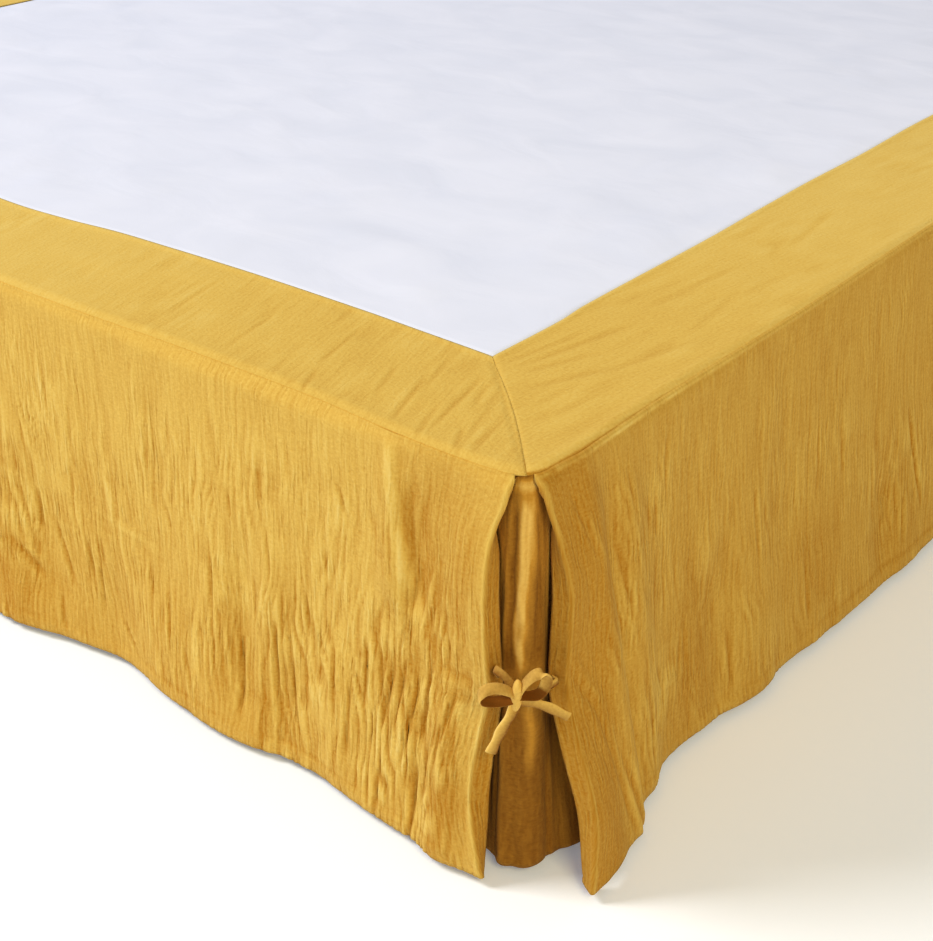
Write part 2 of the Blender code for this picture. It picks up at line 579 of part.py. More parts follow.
def build_base():
    middle_y = (BASE_FOOT_Y + BASE_HEAD_Y) / 2
    bpy.ops.mesh.primitive_cube_add(
        size=1.0,
        location=(0.0, middle_y, (BASE_TOP + BASE_BOTTOM) / 2),
        scale=(BED_WIDTH, BED_LENGTH, BASE_DEPTH),
    )
    bpy.ops.object.transform_apply(location=False, rotation=False, scale=True)
    bevel = bpy.context.object.modifiers.new("rounded edges", "BEVEL")
    bevel.width = BASE_EDGE
    bevel.segments = 3
    finish_part("bed_base", TICKING)

    leg_height = BASE_BOTTOM - GAP
    across = SIDE_X - LEG_INSET
    for row, y in (
        ("foot", BASE_FOOT_Y + LEG_INSET),
        ("middle", middle_y),
        ("head", BASE_HEAD_Y - LEG_INSET),
    ):
        for label, x in ((LEFT, -across), (RIGHT, across)):
            bpy.ops.mesh.primitive_cone_add(
                vertices=16,
                radius1=LEG_RADIUS * 0.75,
                radius2=LEG_RADIUS,
                depth=leg_height,
                location=(x, y, leg_height / 2),
            )
            leg = finish_part(f"leg_{row}_{label}", BEECH)
            leg.data.shade_smooth()
            leg.data.set_sharp_from_angle(angle=math.radians(40.0))


# ---- making objects --------------------------------------------------------------------------------


def plain_material(name, colour):
    material = bpy.data.materials.new(name)
    material.use_nodes = True
    shader = material.node_tree.nodes["Principled BSDF"]
    shader.inputs["Base Color"].default_value = (*colour, 1.0)
    shader.inputs["Roughness"].default_value = 0.9
    shader.inputs["Metallic"].default_value = 0.0
    return material


def finish_part(name, colour):
    """Name the active object, give it its material and put it in the part's collection."""
    part = bpy.context.object
    part.name = name
    part.data.name = name
    part.data.materials.clear()
    part.data.materials.append(plain_material(name, colour))
    for collection in list(part.users_collection):
        collection.objects.unlink(part)
    bpy.data.collections["bed_skirt"].objects.link(part)
    return part


def add_sheet(name, points, columns, thickness, colour):
    """A sheet of cloth: a grid laid on rows of points, with its thickness by Solidify."""
    rows = len(points) // columns
    mesh = bpy.data.meshes.new(name)
    grid = bmesh.new()
    bmesh.ops.create_grid(grid, x_segments=columns - 1, y_segments=rows - 1, size=1.0)
    grid.verts.ensure_lookup_table()
    for vertex, point in zip(grid.verts, points, strict=True):
        vertex.co = point
    grid.to_mesh(mesh)
    grid.free()
    sheet = bpy.data.objects.new(name, mesh)
    bpy.context.scene.collection.objects.link(sheet)
    bpy.context.view_layer.objects.active = sheet
    finish_part(name, colour)
    mesh.shade_smooth()
    solidify = sheet.modifiers.new("thickness", "SOLIDIFY")
    solidify.thickness = thickness
    solidify.offset = 0.0
    solidify.use_even_offset = True
    return sheet


def make_cutter(part):
    bpy.data.collections["bed_skirt"].objects.unlink(part)
    bpy.data.collections["bow_tapes"].objects.link(part)
    part.hide_render = True
    part.display_type = "WIRE"


def main():
    for old in list(bpy.data.objects):
        bpy.data.objects.remove(old)
    for name in ("bed_skirt", "bow_tapes"):
        collection = bpy.data.collections.new(name)
        bpy.context.scene.collection.children.link(collection)

    build_base()
    build_deck()
    build_band("band_foot", FOOT, FOOT_SPAN)
    build_band("band_right", RIGHT, SIDE_SPAN)
    build_band("band_left", LEFT, SIDE_SPAN)
    build_drop("drop_foot", FOOT, HEM_FOOT, FOLDS_FOOT, FOOT_SPAN)
    build_drop("drop_right", RIGHT, HEM_RIGHT, FOLDS_RIGHT, SIDE_SPAN)
    build_drop("drop_left", LEFT, HEM_LEFT, FOLDS_LEFT, SIDE_SPAN)
    for side in (RIGHT, LEFT):
        build_insert(f"insert_{side}", side)
        build_tie(f"tie_{side}", side)


main()
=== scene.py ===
import math

import bmesh
import bpy
import numpy as np
from mathutils import Matrix, Vector


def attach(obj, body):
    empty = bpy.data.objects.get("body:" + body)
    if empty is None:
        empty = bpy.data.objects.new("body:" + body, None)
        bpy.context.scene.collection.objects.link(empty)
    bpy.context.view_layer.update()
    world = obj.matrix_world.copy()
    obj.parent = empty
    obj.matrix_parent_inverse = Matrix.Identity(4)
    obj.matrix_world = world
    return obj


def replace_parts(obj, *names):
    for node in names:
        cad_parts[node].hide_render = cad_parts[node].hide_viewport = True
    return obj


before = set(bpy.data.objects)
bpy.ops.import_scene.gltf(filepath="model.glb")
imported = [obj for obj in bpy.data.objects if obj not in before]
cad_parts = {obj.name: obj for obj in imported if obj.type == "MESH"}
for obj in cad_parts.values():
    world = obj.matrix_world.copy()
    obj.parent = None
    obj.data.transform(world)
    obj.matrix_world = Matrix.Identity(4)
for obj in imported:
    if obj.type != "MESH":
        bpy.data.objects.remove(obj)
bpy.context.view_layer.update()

# sizes shared with the solids, in metres
bed = {
    "width": 1.60,
    "length": 2.00,
    "deckHeight": 0.36,
    "drop": 0.35,
    "band": 0.141,  # at a foot corner
    "slitStart": 0.024,  # from the corner
    "hangOut": 0.0095,  # base side to the hanging cloth
    "insertOut": 0.003,
    "seamIn": 0.0045,
    "seamBack": 0.0006,  # the border's edge is sewn against the drop's
    "seamGap": 0.0001,
    "seamDip": 0.0015,
    "cornerRound": 0.024,
    "flare": 0.036,
    "headIn": 0.010,
    "gap": 0.0003,
}
cloth = {"gauze": 0.0015, "linen": 0.0012}

hangX = bed["width"] / 2 + bed["hangOut"]
footY = -(bed["length"] + bed["hangOut"] + bed["flare"]) / 2 + bed["flare"]
spans = {"foot": 2 * hangX, "right": bed["length"] + bed["hangOut"] - bed["headIn"]}
spans["left"] = spans["right"]
headY = footY + spans["right"]
baseTop = bed["deckHeight"] - cloth["gauze"] / 2 - bed["gap"]
seamHeight = bed["deckHeight"] - bed["seamDip"]
linenHeight = baseTop + bed["gap"] + cloth["linen"] / 2


def smooth(value):
    # eased step from 0 to 1
    value = np.clip(value, 0.0, 1.0)
    return value * value * (3.0 - 2.0 * value)


def bell(value, centre=0.0, width=1.0):
    # 1 at the centre, falling to nothing about two widths away
    return np.exp(-(((value - centre) / width) ** 2))


def hermite(t, start, leaving, end, arriving):
    # from start to end as t goes from 0 to 1, with the slopes it leaves and arrives at
    return (
        (2 * t**3 - 3 * t**2 + 1) * start
        + (t**3 - 2 * t**2 + t) * leaving
        + (3 * t**2 - 2 * t**3) * end
        + (t**3 - t**2) * arriving
    )


def curveAt(rows, column, place):
    # smooth curve through a table's column, level past both ends
    xs = np.array([row[0] for row in rows], float)
    ys = np.array([row[column] for row in rows], float)
    place = np.clip(np.asarray(place, float), xs[0], xs[-1])
    index = np.clip(np.searchsorted(xs, place, side="left") - 1, 0, len(xs) - 2)
    before = np.maximum(index - 1, 0)
    after = np.minimum(index + 2, len(xs) - 1)
    step = xs[index + 1] - xs[index]
    leaving = step * (ys[index + 1] - ys[before]) / (xs[index + 1] - xs[before])
    arriving = step * (ys[after] - ys[index]) / (xs[after] - xs[index])
    return hermite((place - xs[index]) / step, ys[index], leaving, ys[index + 1], arriving)


def grain(x, y, seed):
    # smooth seeded noise from -1 to 1, one bump per unit; it repeats past the lattice
    wide, tall, shift = 1024, 256, 64.0
    x = np.asarray(x, float) + shift
    y = np.asarray(y, float) + shift
    lattice = np.random.default_rng(seed).uniform(-1.0, 1.0, (wide, tall))
    column = np.floor(x).astype(int)
    row = np.floor(y).astype(int)
    tx = x - column
    ty = y - row
    tx = tx * tx * tx * (tx * (tx * 6 - 15) + 10)
    ty = ty * ty * ty * (ty * (ty * 6 - 15) + 10)
    a = lattice[column % wide, row % tall]
    b = lattice[(column + 1) % wide, row % tall]
    c = lattice[column % wide, (row + 1) % tall]
    d = lattice[(column + 1) % wide, (row + 1) % tall]
    return (a * (1 - tx) + b * tx) * (1 - ty) + (c * (1 - tx) + d * tx) * ty


def fromMillimetres(columns, **tables):
    # these columns of the tables are written in millimetres and used in metres
    return {
        name: tuple(tuple(v / 1000 if i in columns else v for i, v in enumerate(row)) for row in rows)
        for name, rows in tables.items()
    }


# hem waves: distance from the foot corner, how far the hem hangs out
hems = fromMillimetres(
    (0, 1),
    foot=(
        (0, 28), (30, 32), (84, 28), (144, 23), (210, 14), (264, 22), (323, 27), (398, 15), (473, 10),
        (542, 17), (602, 31), (690, 24), (800, 13), (900, 23), (1010, 29), (1110, 16), (1200, 22), (1290, 14),
        (1380, 20), (1460, 28), (1540, 31), (1600, 28),
    ),
    right=(
        (0, 60), (30, 63), (45, 61), (93, 48), (125, 32), (180, 16), (226, 15), (263, 22), (331, 31),
        (375, 22), (428, 31), (527, 36), (632, 40), (740, 29), (850, 20), (960, 31), (1090, 36), (1220, 22),
        (1340, 18), (1470, 31), (1600, 38), (1730, 26), (1860, 22), (2000, 34),
    ),
    left=(
        (0, 52), (40, 56), (100, 44), (190, 24), (280, 20), (370, 34), (470, 40), (590, 28), (710, 19),
        (830, 29), (950, 38), (1080, 26), (1200, 18), (1330, 28), (1460, 37), (1590, 25), (1720, 19),
        (1850, 30), (2000, 37),
    ),
)
# small swing of the seam line
seams = fromMillimetres(
    (0, 1),
    foot=(
        (20, 0), (60, 3), (130, 2), (210, -3), (300, -3), (380, -2), (480, 1), (600, 1), (800, -2), (1000, 1),
        (1250, -2), (1450, 2), (1600, 0),
    ),
    right=(
        (20, 0), (70, 3), (170, 1), (380, 3), (600, 1), (900, -2), (1200, 2), (1600, -1), (2000, 0),
    ),
)
seams["left"] = seams["right"]
# how much wider the border is than at a corner
edges = fromMillimetres(
    (0, 1),
    foot=(
        (145, 0), (230, 3), (284, 5), (405, 6), (468, 5), (532, 3), (600, 0), (663, -7), (734, -11),
        (820, -7), (930, 1), (1050, 5), (1200, 2), (1330, 5), (1470, 0),
    ),
    right=(
        (145, 0), (237, -1), (278, 2), (487, 3), (588, 6), (696, 8), (809, 7), (950, 10), (1100, 7),
        (1300, 2), (1500, 6), (1700, 1), (1850, 5), (2000, 3),
    ),
)
edges["left"] = edges["right"]
# a slit's folded edge: share of the height from seam to hem, along, out, turn of the return in degrees
slits = fromMillimetres(
    (1, 2),
    foot=(
        (0.0, 19, 0, 179), (0.06, 21, 4, 170), (0.11, 26, 8, 140), (0.18, 28, 14, 100), (0.28, 27, 18, 90),
        (0.42, 25, 18, 90), (0.52, 23, 17, 91), (0.6, 28, 19, 78), (0.7, 33, 22, 66), (0.8, 34, 25, 70),
        (0.9, 29, 27, 92), (1.0, 21, 28, 124),
    ),
    right=(
        (0.0, 16, 0, 179), (0.06, 19, 4, 172), (0.16, 25, 12, 122), (0.28, 29, 19, 90), (0.42, 27, 20, 88),
        (0.52, 25, 22, 88), (0.66, 23, 38, 82), (0.82, 23, 54, 90), (1.0, 14, 60, 124),
    ),
)
slits["left"] = slits["right"]
# main folds: along at the seam, shift from seam to hem, half width, depth, top and bottom of its stretch
folds = fromMillimetres(
    (0, 1, 2, 3),
    foot=(
        (60, 4, 16, 5, 0.45, 1.1), (88, 2, 10, -4, 0.4, 1.05), (130, -18, 14, 5, -0.05, 0.48),
        (104, -12, 12, -4.5, 0.05, 0.5), (190, -8, 22, 5, 0.5, 1.05), (246, 4, 18, -5, 0.62, 1.1),
        (286, 6, 18, -6, 0.35, 1.0), (386, 4, 34, 5, 0.62, 1.15), (480, -10, 30, -5, 0.62, 1.1),
        (580, -20, 40, -5, 0.4, 0.95), (720, 10, 30, 5, 0.3, 1.1), (860, 12, 28, -6, 0.35, 1.1),
        (990, -10, 30, 5, 0.2, 0.9), (1150, 8, 26, -6, 0.45, 1.1), (1250, -10, 24, 5, 0.1, 0.7),
        (1350, 14, 22, -5, 0.4, 1.05), (1470, 12, 16, 5, -0.05, 0.55), (1520, -4, 14, -4, 0.4, 1.05),
    ),
    right=(
        (62, 40, 15, 7, -0.05, 1.1), (88, 36, 11, -5.5, 0.05, 1.0), (118, 34, 17, 6, 0.0, 1.1),
        (240, 34, 26, -6, 0.45, 1.1), (372, 6, 32, 5, 0.55, 1.1), (560, 10, 26, -6, 0.55, 1.05),
        (680, 16, 34, 5, 0.2, 1.1), (840, -10, 30, -6, 0.35, 1.1), (1000, 12, 34, 5, 0.3, 1.1),
        (1160, 8, 30, -6, 0.5, 1.1), (1320, -12, 36, 4.5, 0.1, 0.9), (1500, 10, 30, -6, 0.4, 1.1),
        (1660, 12, 34, 5, 0.35, 1.1), (1830, -10, 28, -5.5, 0.45, 1.1),
    ),
    left=(
        (70, 34, 17, 5.5, -0.05, 1.1), (104, 30, 12, -4.5, 0.1, 1.0), (170, 26, 22, 5, 0.2, 1.1),
        (300, 14, 26, -6, 0.4, 1.1), (440, 10, 34, 5, 0.3, 1.05), (620, -12, 28, -6, 0.45, 1.1),
        (780, 10, 34, 5, 0.2, 1.0), (920, 12, 30, -5.5, 0.4, 1.1), (1070, -10, 34, 5, 0.35, 1.1),
        (1240, 8, 30, -6, 0.45, 1.1), (1420, 12, 36, 5, 0.15, 0.95), (1580, -10, 30, -6, 0.4, 1.1),
        (1760, 10, 34, 5, 0.3, 1.1), (1900, 6, 26, -5, 0.45, 1.05),
    ),
)


def seamInward(side, along):
    span = spans[side]
    inward = bed["seamIn"] - curveAt(seams[side], 1, along)
    ends = (along, span - along) if side == "foot" else (along,)
    for end in ends:
        short = np.clip(bed["cornerRound"] - (end - bed["seamIn"]), 0.0, bed["cornerRound"] * 0.75)
        inward = inward + bed["cornerRound"] - np.sqrt(bed["cornerRound"] ** 2 - short**2)
    return inward


def toWorld(side, along, out, z):
    along, out, z = np.broadcast_arrays(along, out, z)
    if side == "foot":
        return np.stack([hangX - along, footY - out, z], -1)
    if side == "right":
        return np.stack([hangX + out, footY + along, z], -1)
    return np.stack([-hangX - out, footY + along, z], -1)


def seenPlaces(start, end, seen, fine, coarse):
    # distances along a piece, fine over the stretch that is looked at closely
    places = [start]
    while places[-1] < end - coarse * 0.5:
        near = fine * (1.0 + 0.95 * places[-1])
        places.append(places[-1] + near + (coarse - near) * float(smooth((places[-1] - seen) / 0.12)))
    places[-1] = end
    return np.array(places)


def gridNormals(points):
    across = np.gradient(points, axis=1)
    down = np.gradient(points, axis=0)
    normals = np.cross(across, down)
    length = np.linalg.norm(normals, axis=-1, keepdims=True)
    return normals / np.maximum(length, 1e-12)


def distances(points, axis):
    steps = np.linalg.norm(np.diff(points, axis=axis), axis=-1)
    start = np.zeros_like(np.take(steps, [0], axis=axis))
    return np.concatenate([start, np.cumsum(steps, axis=axis)], axis=axis)


def setThreads(mesh, layer, places):
    # the threads' own map in metres, from a place for each vertex
    corners = np.empty(len(mesh.loops), int)
    mesh.loops.foreach_get("vertex_index", corners)
    layer.data.foreach_set("uv", places[corners].astype(np.float32).ravel())


def linkObject(name, data):
    made = bpy.data.objects.new(name, data)
    bpy.context.scene.collection.objects.link(made)
    return made


def clothPiece(name, points, across, down, thickness, material, flip=False, **tones):
    # a thin sheet on a grid of points
    # tones are painted on its points: painted light and shade from -1 (painted shade in valleys and shaded
    # places) to 1 (painted light on crests and lit places), crinkled from 0 to 1
    rows, columns = points.shape[:2]
    mesh = bpy.data.meshes.new(name)
    index = np.arange(rows * columns).reshape(rows, columns)
    faces = np.stack([index[:-1, :-1], index[:-1, 1:], index[1:, 1:], index[1:, :-1]], -1).reshape(-1, 4)
    if flip:
        faces = faces[:, ::-1]
    mesh.from_pydata(points.reshape(-1, 3).tolist(), [], faces.tolist())
    setThreads(mesh, mesh.uv_layers.new(name="threads"), np.stack([across.reshape(-1), down.reshape(-1)], -1))
    mesh.polygons.foreach_set("use_smooth", np.ones(len(mesh.polygons), bool))
    for label, values in tones.items():
        painted = mesh.attributes.new(label, "FLOAT", "POINT")
        painted.data.foreach_set("value", np.broadcast_to(values, (rows, columns)).astype(np.float32).ravel())
    mesh.materials.append(material)
    piece = linkObject(name, mesh)
    wall = piece.modifiers.new("thickness", "SOLIDIFY")
    wall.thickness = thickness
    wall.offset = 0.0
    wall.use_even_offset = False
    bpy.ops.object.select_all(action="DESELECT")
    bpy.context.view_layer.objects.active = piece
    piece.select_set(True)
    bpy.ops.object.modifier_apply(modifier=wall.name)
    piece.select_set(False)
    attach(piece, "root")
    return piece


def addNode(tree, kind, settings=None, links=None):
    node = tree.nodes.new(kind)
    for key, value in (settings or {}).items():
        if isinstance(key, str) and hasattr(node, key):
            setattr(node, key, value)
        else:
            node.inputs[key].default_value = value
    for key, source in (links or {}).items():
        tree.links.new(source, node.inputs[key])
    return node


def calculate(tree, operation, *values):
    # each value is a number or the output of another node
    numbers = {place: value for place, value in enumerate(values) if isinstance(value, float)}
    sources = {place: value for place, value in enumerate(values) if place not in numbers}
    return addNode(tree, "ShaderNodeMath", {"operation": operation, **numbers}, sources).outputs["Value"]


def texture(tree, kind, place, scale, settings):
    # a noise or a wave on a place that is scaled along its own axes
    scaled = addNode(tree, "ShaderNodeMapping", {"Scale": scale}, {"Vector": place}).outputs["Vector"]
    settings = {"Scale": 1.0, **settings}
    return addNode(tree, "ShaderNodeTex" + kind, settings, {"Vector": scaled}).outputs["Fac"]


def bump(tree, height, distance, under=None, strength=1.0):
    links = {"Height": height, "Normal": under} if under else {"Height": height}
    settings = {"Strength": strength, "Distance": distance}
    return addNode(tree, "ShaderNodeBump", settings, links).outputs["Normal"]


def hexColour(text):
    parts = [int(text[i : i + 2], 16) / 255 for i in (1, 3, 5)]
    return (*[p / 12.92 if p <= 0.04045 else ((p + 0.055) / 1.055) ** 2.4 for p in parts], 1.0)


def startMaterial(name, sockets):
    material = bpy.data.materials.new(name)
    material.use_nodes = True
    shader = material.node_tree.nodes["Principled BSDF"]
    for key, value in sockets.items():
        shader.inputs[key].default_value = value
    return material, material.node_tree, shader


def finishMaterial(tree, shader, tone, stops, normal):
    # stops: place and colour of each, the first and the last of them at the ramp's own ends
    ramp = addNode(tree, "ShaderNodeValToRGB", None, {"Fac": tone})
    elements = ramp.color_ramp.elements
    for element, (place, colour) in zip(elements, (stops[0], stops[-1])):
        element.position = place
        element.color = hexColour(colour)
    for place, colour in stops[1:-1]:
        elements.new(place).color = hexColour(colour)
    tree.links.new(ramp.outputs["Color"], shader.inputs["Base Color"])
    tree.links.new(normal, shader.inputs["Normal"])


# cotton double gauze, garment washed: matt, fuzzy at grazing angles, crinkled, lined by its threads
gauzeLook = {
    "deep": "#ad7618",
    "mid": "#d9b762",
    "pale": "#e6cd82",
    # how far the painted light and shade move the colour
    "reliefTone": 0.34,
    "weaveTone": 0.30,
    "threadMm": 2.0,  # real threads are about 0.5 mm apart, drawn coarser so that they show
    "crinkleMm": 2.8,
    "crinkleLongMm": 34.0,
    "threadDepth": 0.00035,
    "crinkleDepth": 0.00024,
    "pleatMm": 5.6,
    "pleatLongMm": 52.0,
    "pleatDepth": 0.0008,
    "roughness": 0.95,
    "fuzz": 0.08,
}


def wavyLines(tree, threads, apartMm, longMm, wander, strength):
    # ridges side by side that run into each other
    oneRidge = 314.16  # scale at which a wave texture has a ridge in each millimetre
    settings = {"bands_direction": "X", "Distortion": wander, "Detail": 3.0}
    settings |= {"Detail Scale": 1.0, "Detail Roughness": 0.6}
    wave = texture(tree, "Wave", threads, (oneRidge / apartMm, 1000 / longMm, 1.0), settings)
    return calculate(tree, "MULTIPLY", calculate(tree, "SUBTRACT", wave, 0.5), strength)


def gauzeMaterial(name, look):
    sockets = {
        "Roughness": look["roughness"],
        "Specular IOR Level": 0.15,
        "Sheen Weight": look["fuzz"],
        "Sheen Roughness": 0.6,
        "Sheen Tint": hexColour("#f6dfae"),
    }
    material, tree, shader = startMaterial(name, sockets)
    threads = addNode(tree, "ShaderNodeUVMap", {"uv_map": "threads"}).outputs["UV"]
    fine, coarse = 1000 / look["threadMm"], 1000 / (look["threadMm"] * 1.8)
    warp = texture(tree, "Noise", threads, (fine, coarse, 1.0), {"Detail": 2.0, "Roughness": 0.6})
    weft = texture(tree, "Noise", threads, (coarse, fine, 1.0), {"Detail": 2.0, "Roughness": 0.6})
    weave = calculate(tree, "ADD", warp, weft)
    # crinkles are strong here, smoothed out there
    crinkled = addNode(tree, "ShaderNodeAttribute", {"attribute_name": "crinkled"}).outputs["Fac"]
    gather = texture(tree, "Noise", threads, (120.0, 40.0, 1.0), {"Detail": 3.0, "Roughness": 0.6})
    gatherRange = {"From Min": 0.36, "From Max": 0.66, "To Min": 0.25, "To Max": 1.5}
    gathered = addNode(tree, "ShaderNodeMapRange", gatherRange, {"Value": gather}).outputs["Result"]
    here = calculate(tree, "MULTIPLY", gathered, crinkled)
    # fine crinkles run down the cloth and into each other, wider pleats of the double layer lie over them
    crinkle = wavyLines(tree, threads, look["crinkleMm"], look["crinkleLongMm"], 8.0, here)
    pleat = wavyLines(tree, threads, look["pleatMm"], look["pleatLongMm"], 10.0, here)
    normal = bump(tree, crinkle, look["crinkleDepth"])
    normal = bump(tree, pleat, look["pleatDepth"], normal)
    normal = bump(tree, weave, look["threadDepth"], normal)
    # painted light and shade: valleys and shaded places are painted deeper in colour, crests and lit places
    # paler
    shadePaint = addNode(tree, "ShaderNodeAttribute", {"attribute_name": "relief"}).outputs["Fac"]
    blots = texture(tree, "Noise", threads, (34.0, 22.0, 1.0), {"Detail": 4.0, "Roughness": 0.6})
    tone = calculate(tree, "MULTIPLY_ADD", shadePaint, look["reliefTone"], 0.49 - look["weaveTone"])
    # the crinkles' and pleats' valleys are painted darker too; the blots and the threads are the cloth's own
    # tone
    for source, share in ((blots, 0.12), (crinkle, 0.15), (pleat, 0.28), (weave, look["weaveTone"])):
        tone = calculate(tree, "MULTIPLY_ADD", source, share, tone)
    stops = ((0.05, look["deep"]), (0.62, look["mid"]), (1.0, look["pale"]))
    finishMaterial(tree, shader, tone, stops, normal)
    return material


# the same gauze folded into a tape: finer crinkles, stronger lit and shaded folds
tapeLook = {
    **gauzeLook,
    "deep": "#80501a",
    "mid": "#e6c06c",
    "pale": "#f8dc98",
    "reliefTone": 0.57,
    "weaveTone": 0.18,
    "crinkleMm": 2.4,
    "crinkleDepth": 0.0006,
    "threadDepth": 0.0002,
}
# the same gauze with painted shade, darker and browner, for the insert behind the slit
shadedLook = {**gauzeLook, "deep": "#70440c", "mid": "#c3913c", "pale": "#e8c270", "weaveTone": 0.18}
gauze = gauzeMaterial("mustard cotton double gauze", gauzeLook)
tapeGauze = gauzeMaterial("mustard gauze tape", tapeLook)
shadedGauze = gauzeMaterial("mustard gauze with painted shade", shadedLook)

# white cotton percale: smooth plain weave, a trace of blue whitener, faint press marks
percaleLook = {
    "white": "#e4e8fd",
    "shade": "#dce1f7",
    "threadMm": 1.4,
    "threadDepth": 0.00005,
    "creaseDepth": 0.0012,
    "roughness": 0.85,
}


def percaleMaterial(name, look):
    sockets = {"Roughness": look["roughness"], "Specular IOR Level": 0.2}
    sockets |= {"Sheen Weight": 0.1, "Sheen Roughness": 0.5}
    material, tree, shader = startMaterial(name, sockets)
    threads = addNode(tree, "ShaderNodeUVMap", {"uv_map": "threads"}).outputs["UV"]
    fine = 1000 / look["threadMm"]
    weave = texture(tree, "Noise", threads, (fine, fine, 1.0), {"Detail": 2.0})
    rumple = {"Detail": 4.0, "Roughness": 0.5, "Distortion": 0.6}
    crease = texture(tree, "Noise", threads, (9.0, 14.0, 1.0), rumple)
    normal = bump(tree, crease, look["creaseDepth"])
    normal = bump(tree, weave, look["threadDepth"], normal)
    # painted shade: the crease valleys take the shade colour, the crests the white
    finishMaterial(tree, shader, crease, ((0.3, look["shade"]), (0.7, look["white"])), normal)
    return material


percale = percaleMaterial("white cotton percale", percaleLook)
print("materials for the cloth made")

dropLook = {
    "rows": 72,
    "seen": 0.80,  # so far from the corner the mesh is fine
    "coarseStep": 0.0060,
    "farSeen": 0.10,  # the same at the foot drop's other end
    "farStep": 0.0028,
    "fineMm": 0.60,  # crinkle heights everywhere
    "midMm": 1.20,
    "weftMm": 0.20,
    "broadMm": 1.20,
    "hemLine": 0.010,
    "tuck": 0.0024,
    "tuckDown": 0.0019,
    # share is how crinkled a drop is, welt and gathers lie under its seam, the tones set its painted light and
    # shade: how dark or light it is painted where
    "foot": {
        "flat": (1.640, 0.352), "seed": 37, "step": 0.0017, "share": 1.0, "welt": 0.0, "gathers": 0.35,
        "slitShade": 0.0, "seamShadow": 0.0, "seamWider": 0.0,
        "lowTone": 0.30, "shadeTone": 0.10, "rimHighlight": 0.0,
    },
    "right": {
        "flat": (2.015, 0.352), "seed": 11, "step": 0.0017, "share": 0.70, "welt": 0.0011, "gathers": 1.0,
        "slitShade": 0.45, "seamShadow": 1.6, "seamWider": 0.0006,
        "lowTone": 0.0, "shadeTone": 0.52, "rimHighlight": 1.2,
    },
}
dropLook["left"] = {**dropLook["right"], "seed": 53, "step": 0.0030}
# crinkled stretches: along, depth, reach along, reach down, then height of the ridges in mm
patches = fromMillimetres(
    (0, 1, 2, 3),
    foot=(
        (115, 270, 60, 85, 1.5), (60, 250, 30, 90, 0.45), (80, 140, 35, 60, 0.7), (285, 100, 60, 50, 0.5),
        (215, 270, 25, 60, 0.55), (250, 280, 30, 70, 0.55), (310, 230, 30, 90, 0.45), (620, 230, 60, 90, 0.9),
        (480, 160, 50, 70, 0.35), (700, 120, 60, 80, 0.45), (950, 200, 150, 100, 0.45),
        (1280, 240, 140, 90, 0.5), (1500, 260, 60, 90, 0.7),
    ),
    right=(
        (50, 160, 30, 140, 0.45), (170, 80, 35, 40, 0.5), (170, 280, 40, 60, 0.6), (250, 250, 60, 90, 0.4),
        (567, 260, 50, 80, 0.5), (880, 160, 50, 80, 0.6), (1150, 230, 150, 90, 0.4),
        (1600, 200, 180, 90, 0.4),
    ),
    left=(
        (90, 260, 50, 90, 0.7), (400, 240, 120, 90, 0.45), (800, 200, 160, 90, 0.4),
        (1300, 240, 160, 90, 0.45), (1750, 200, 140, 90, 0.4),
    ),
)
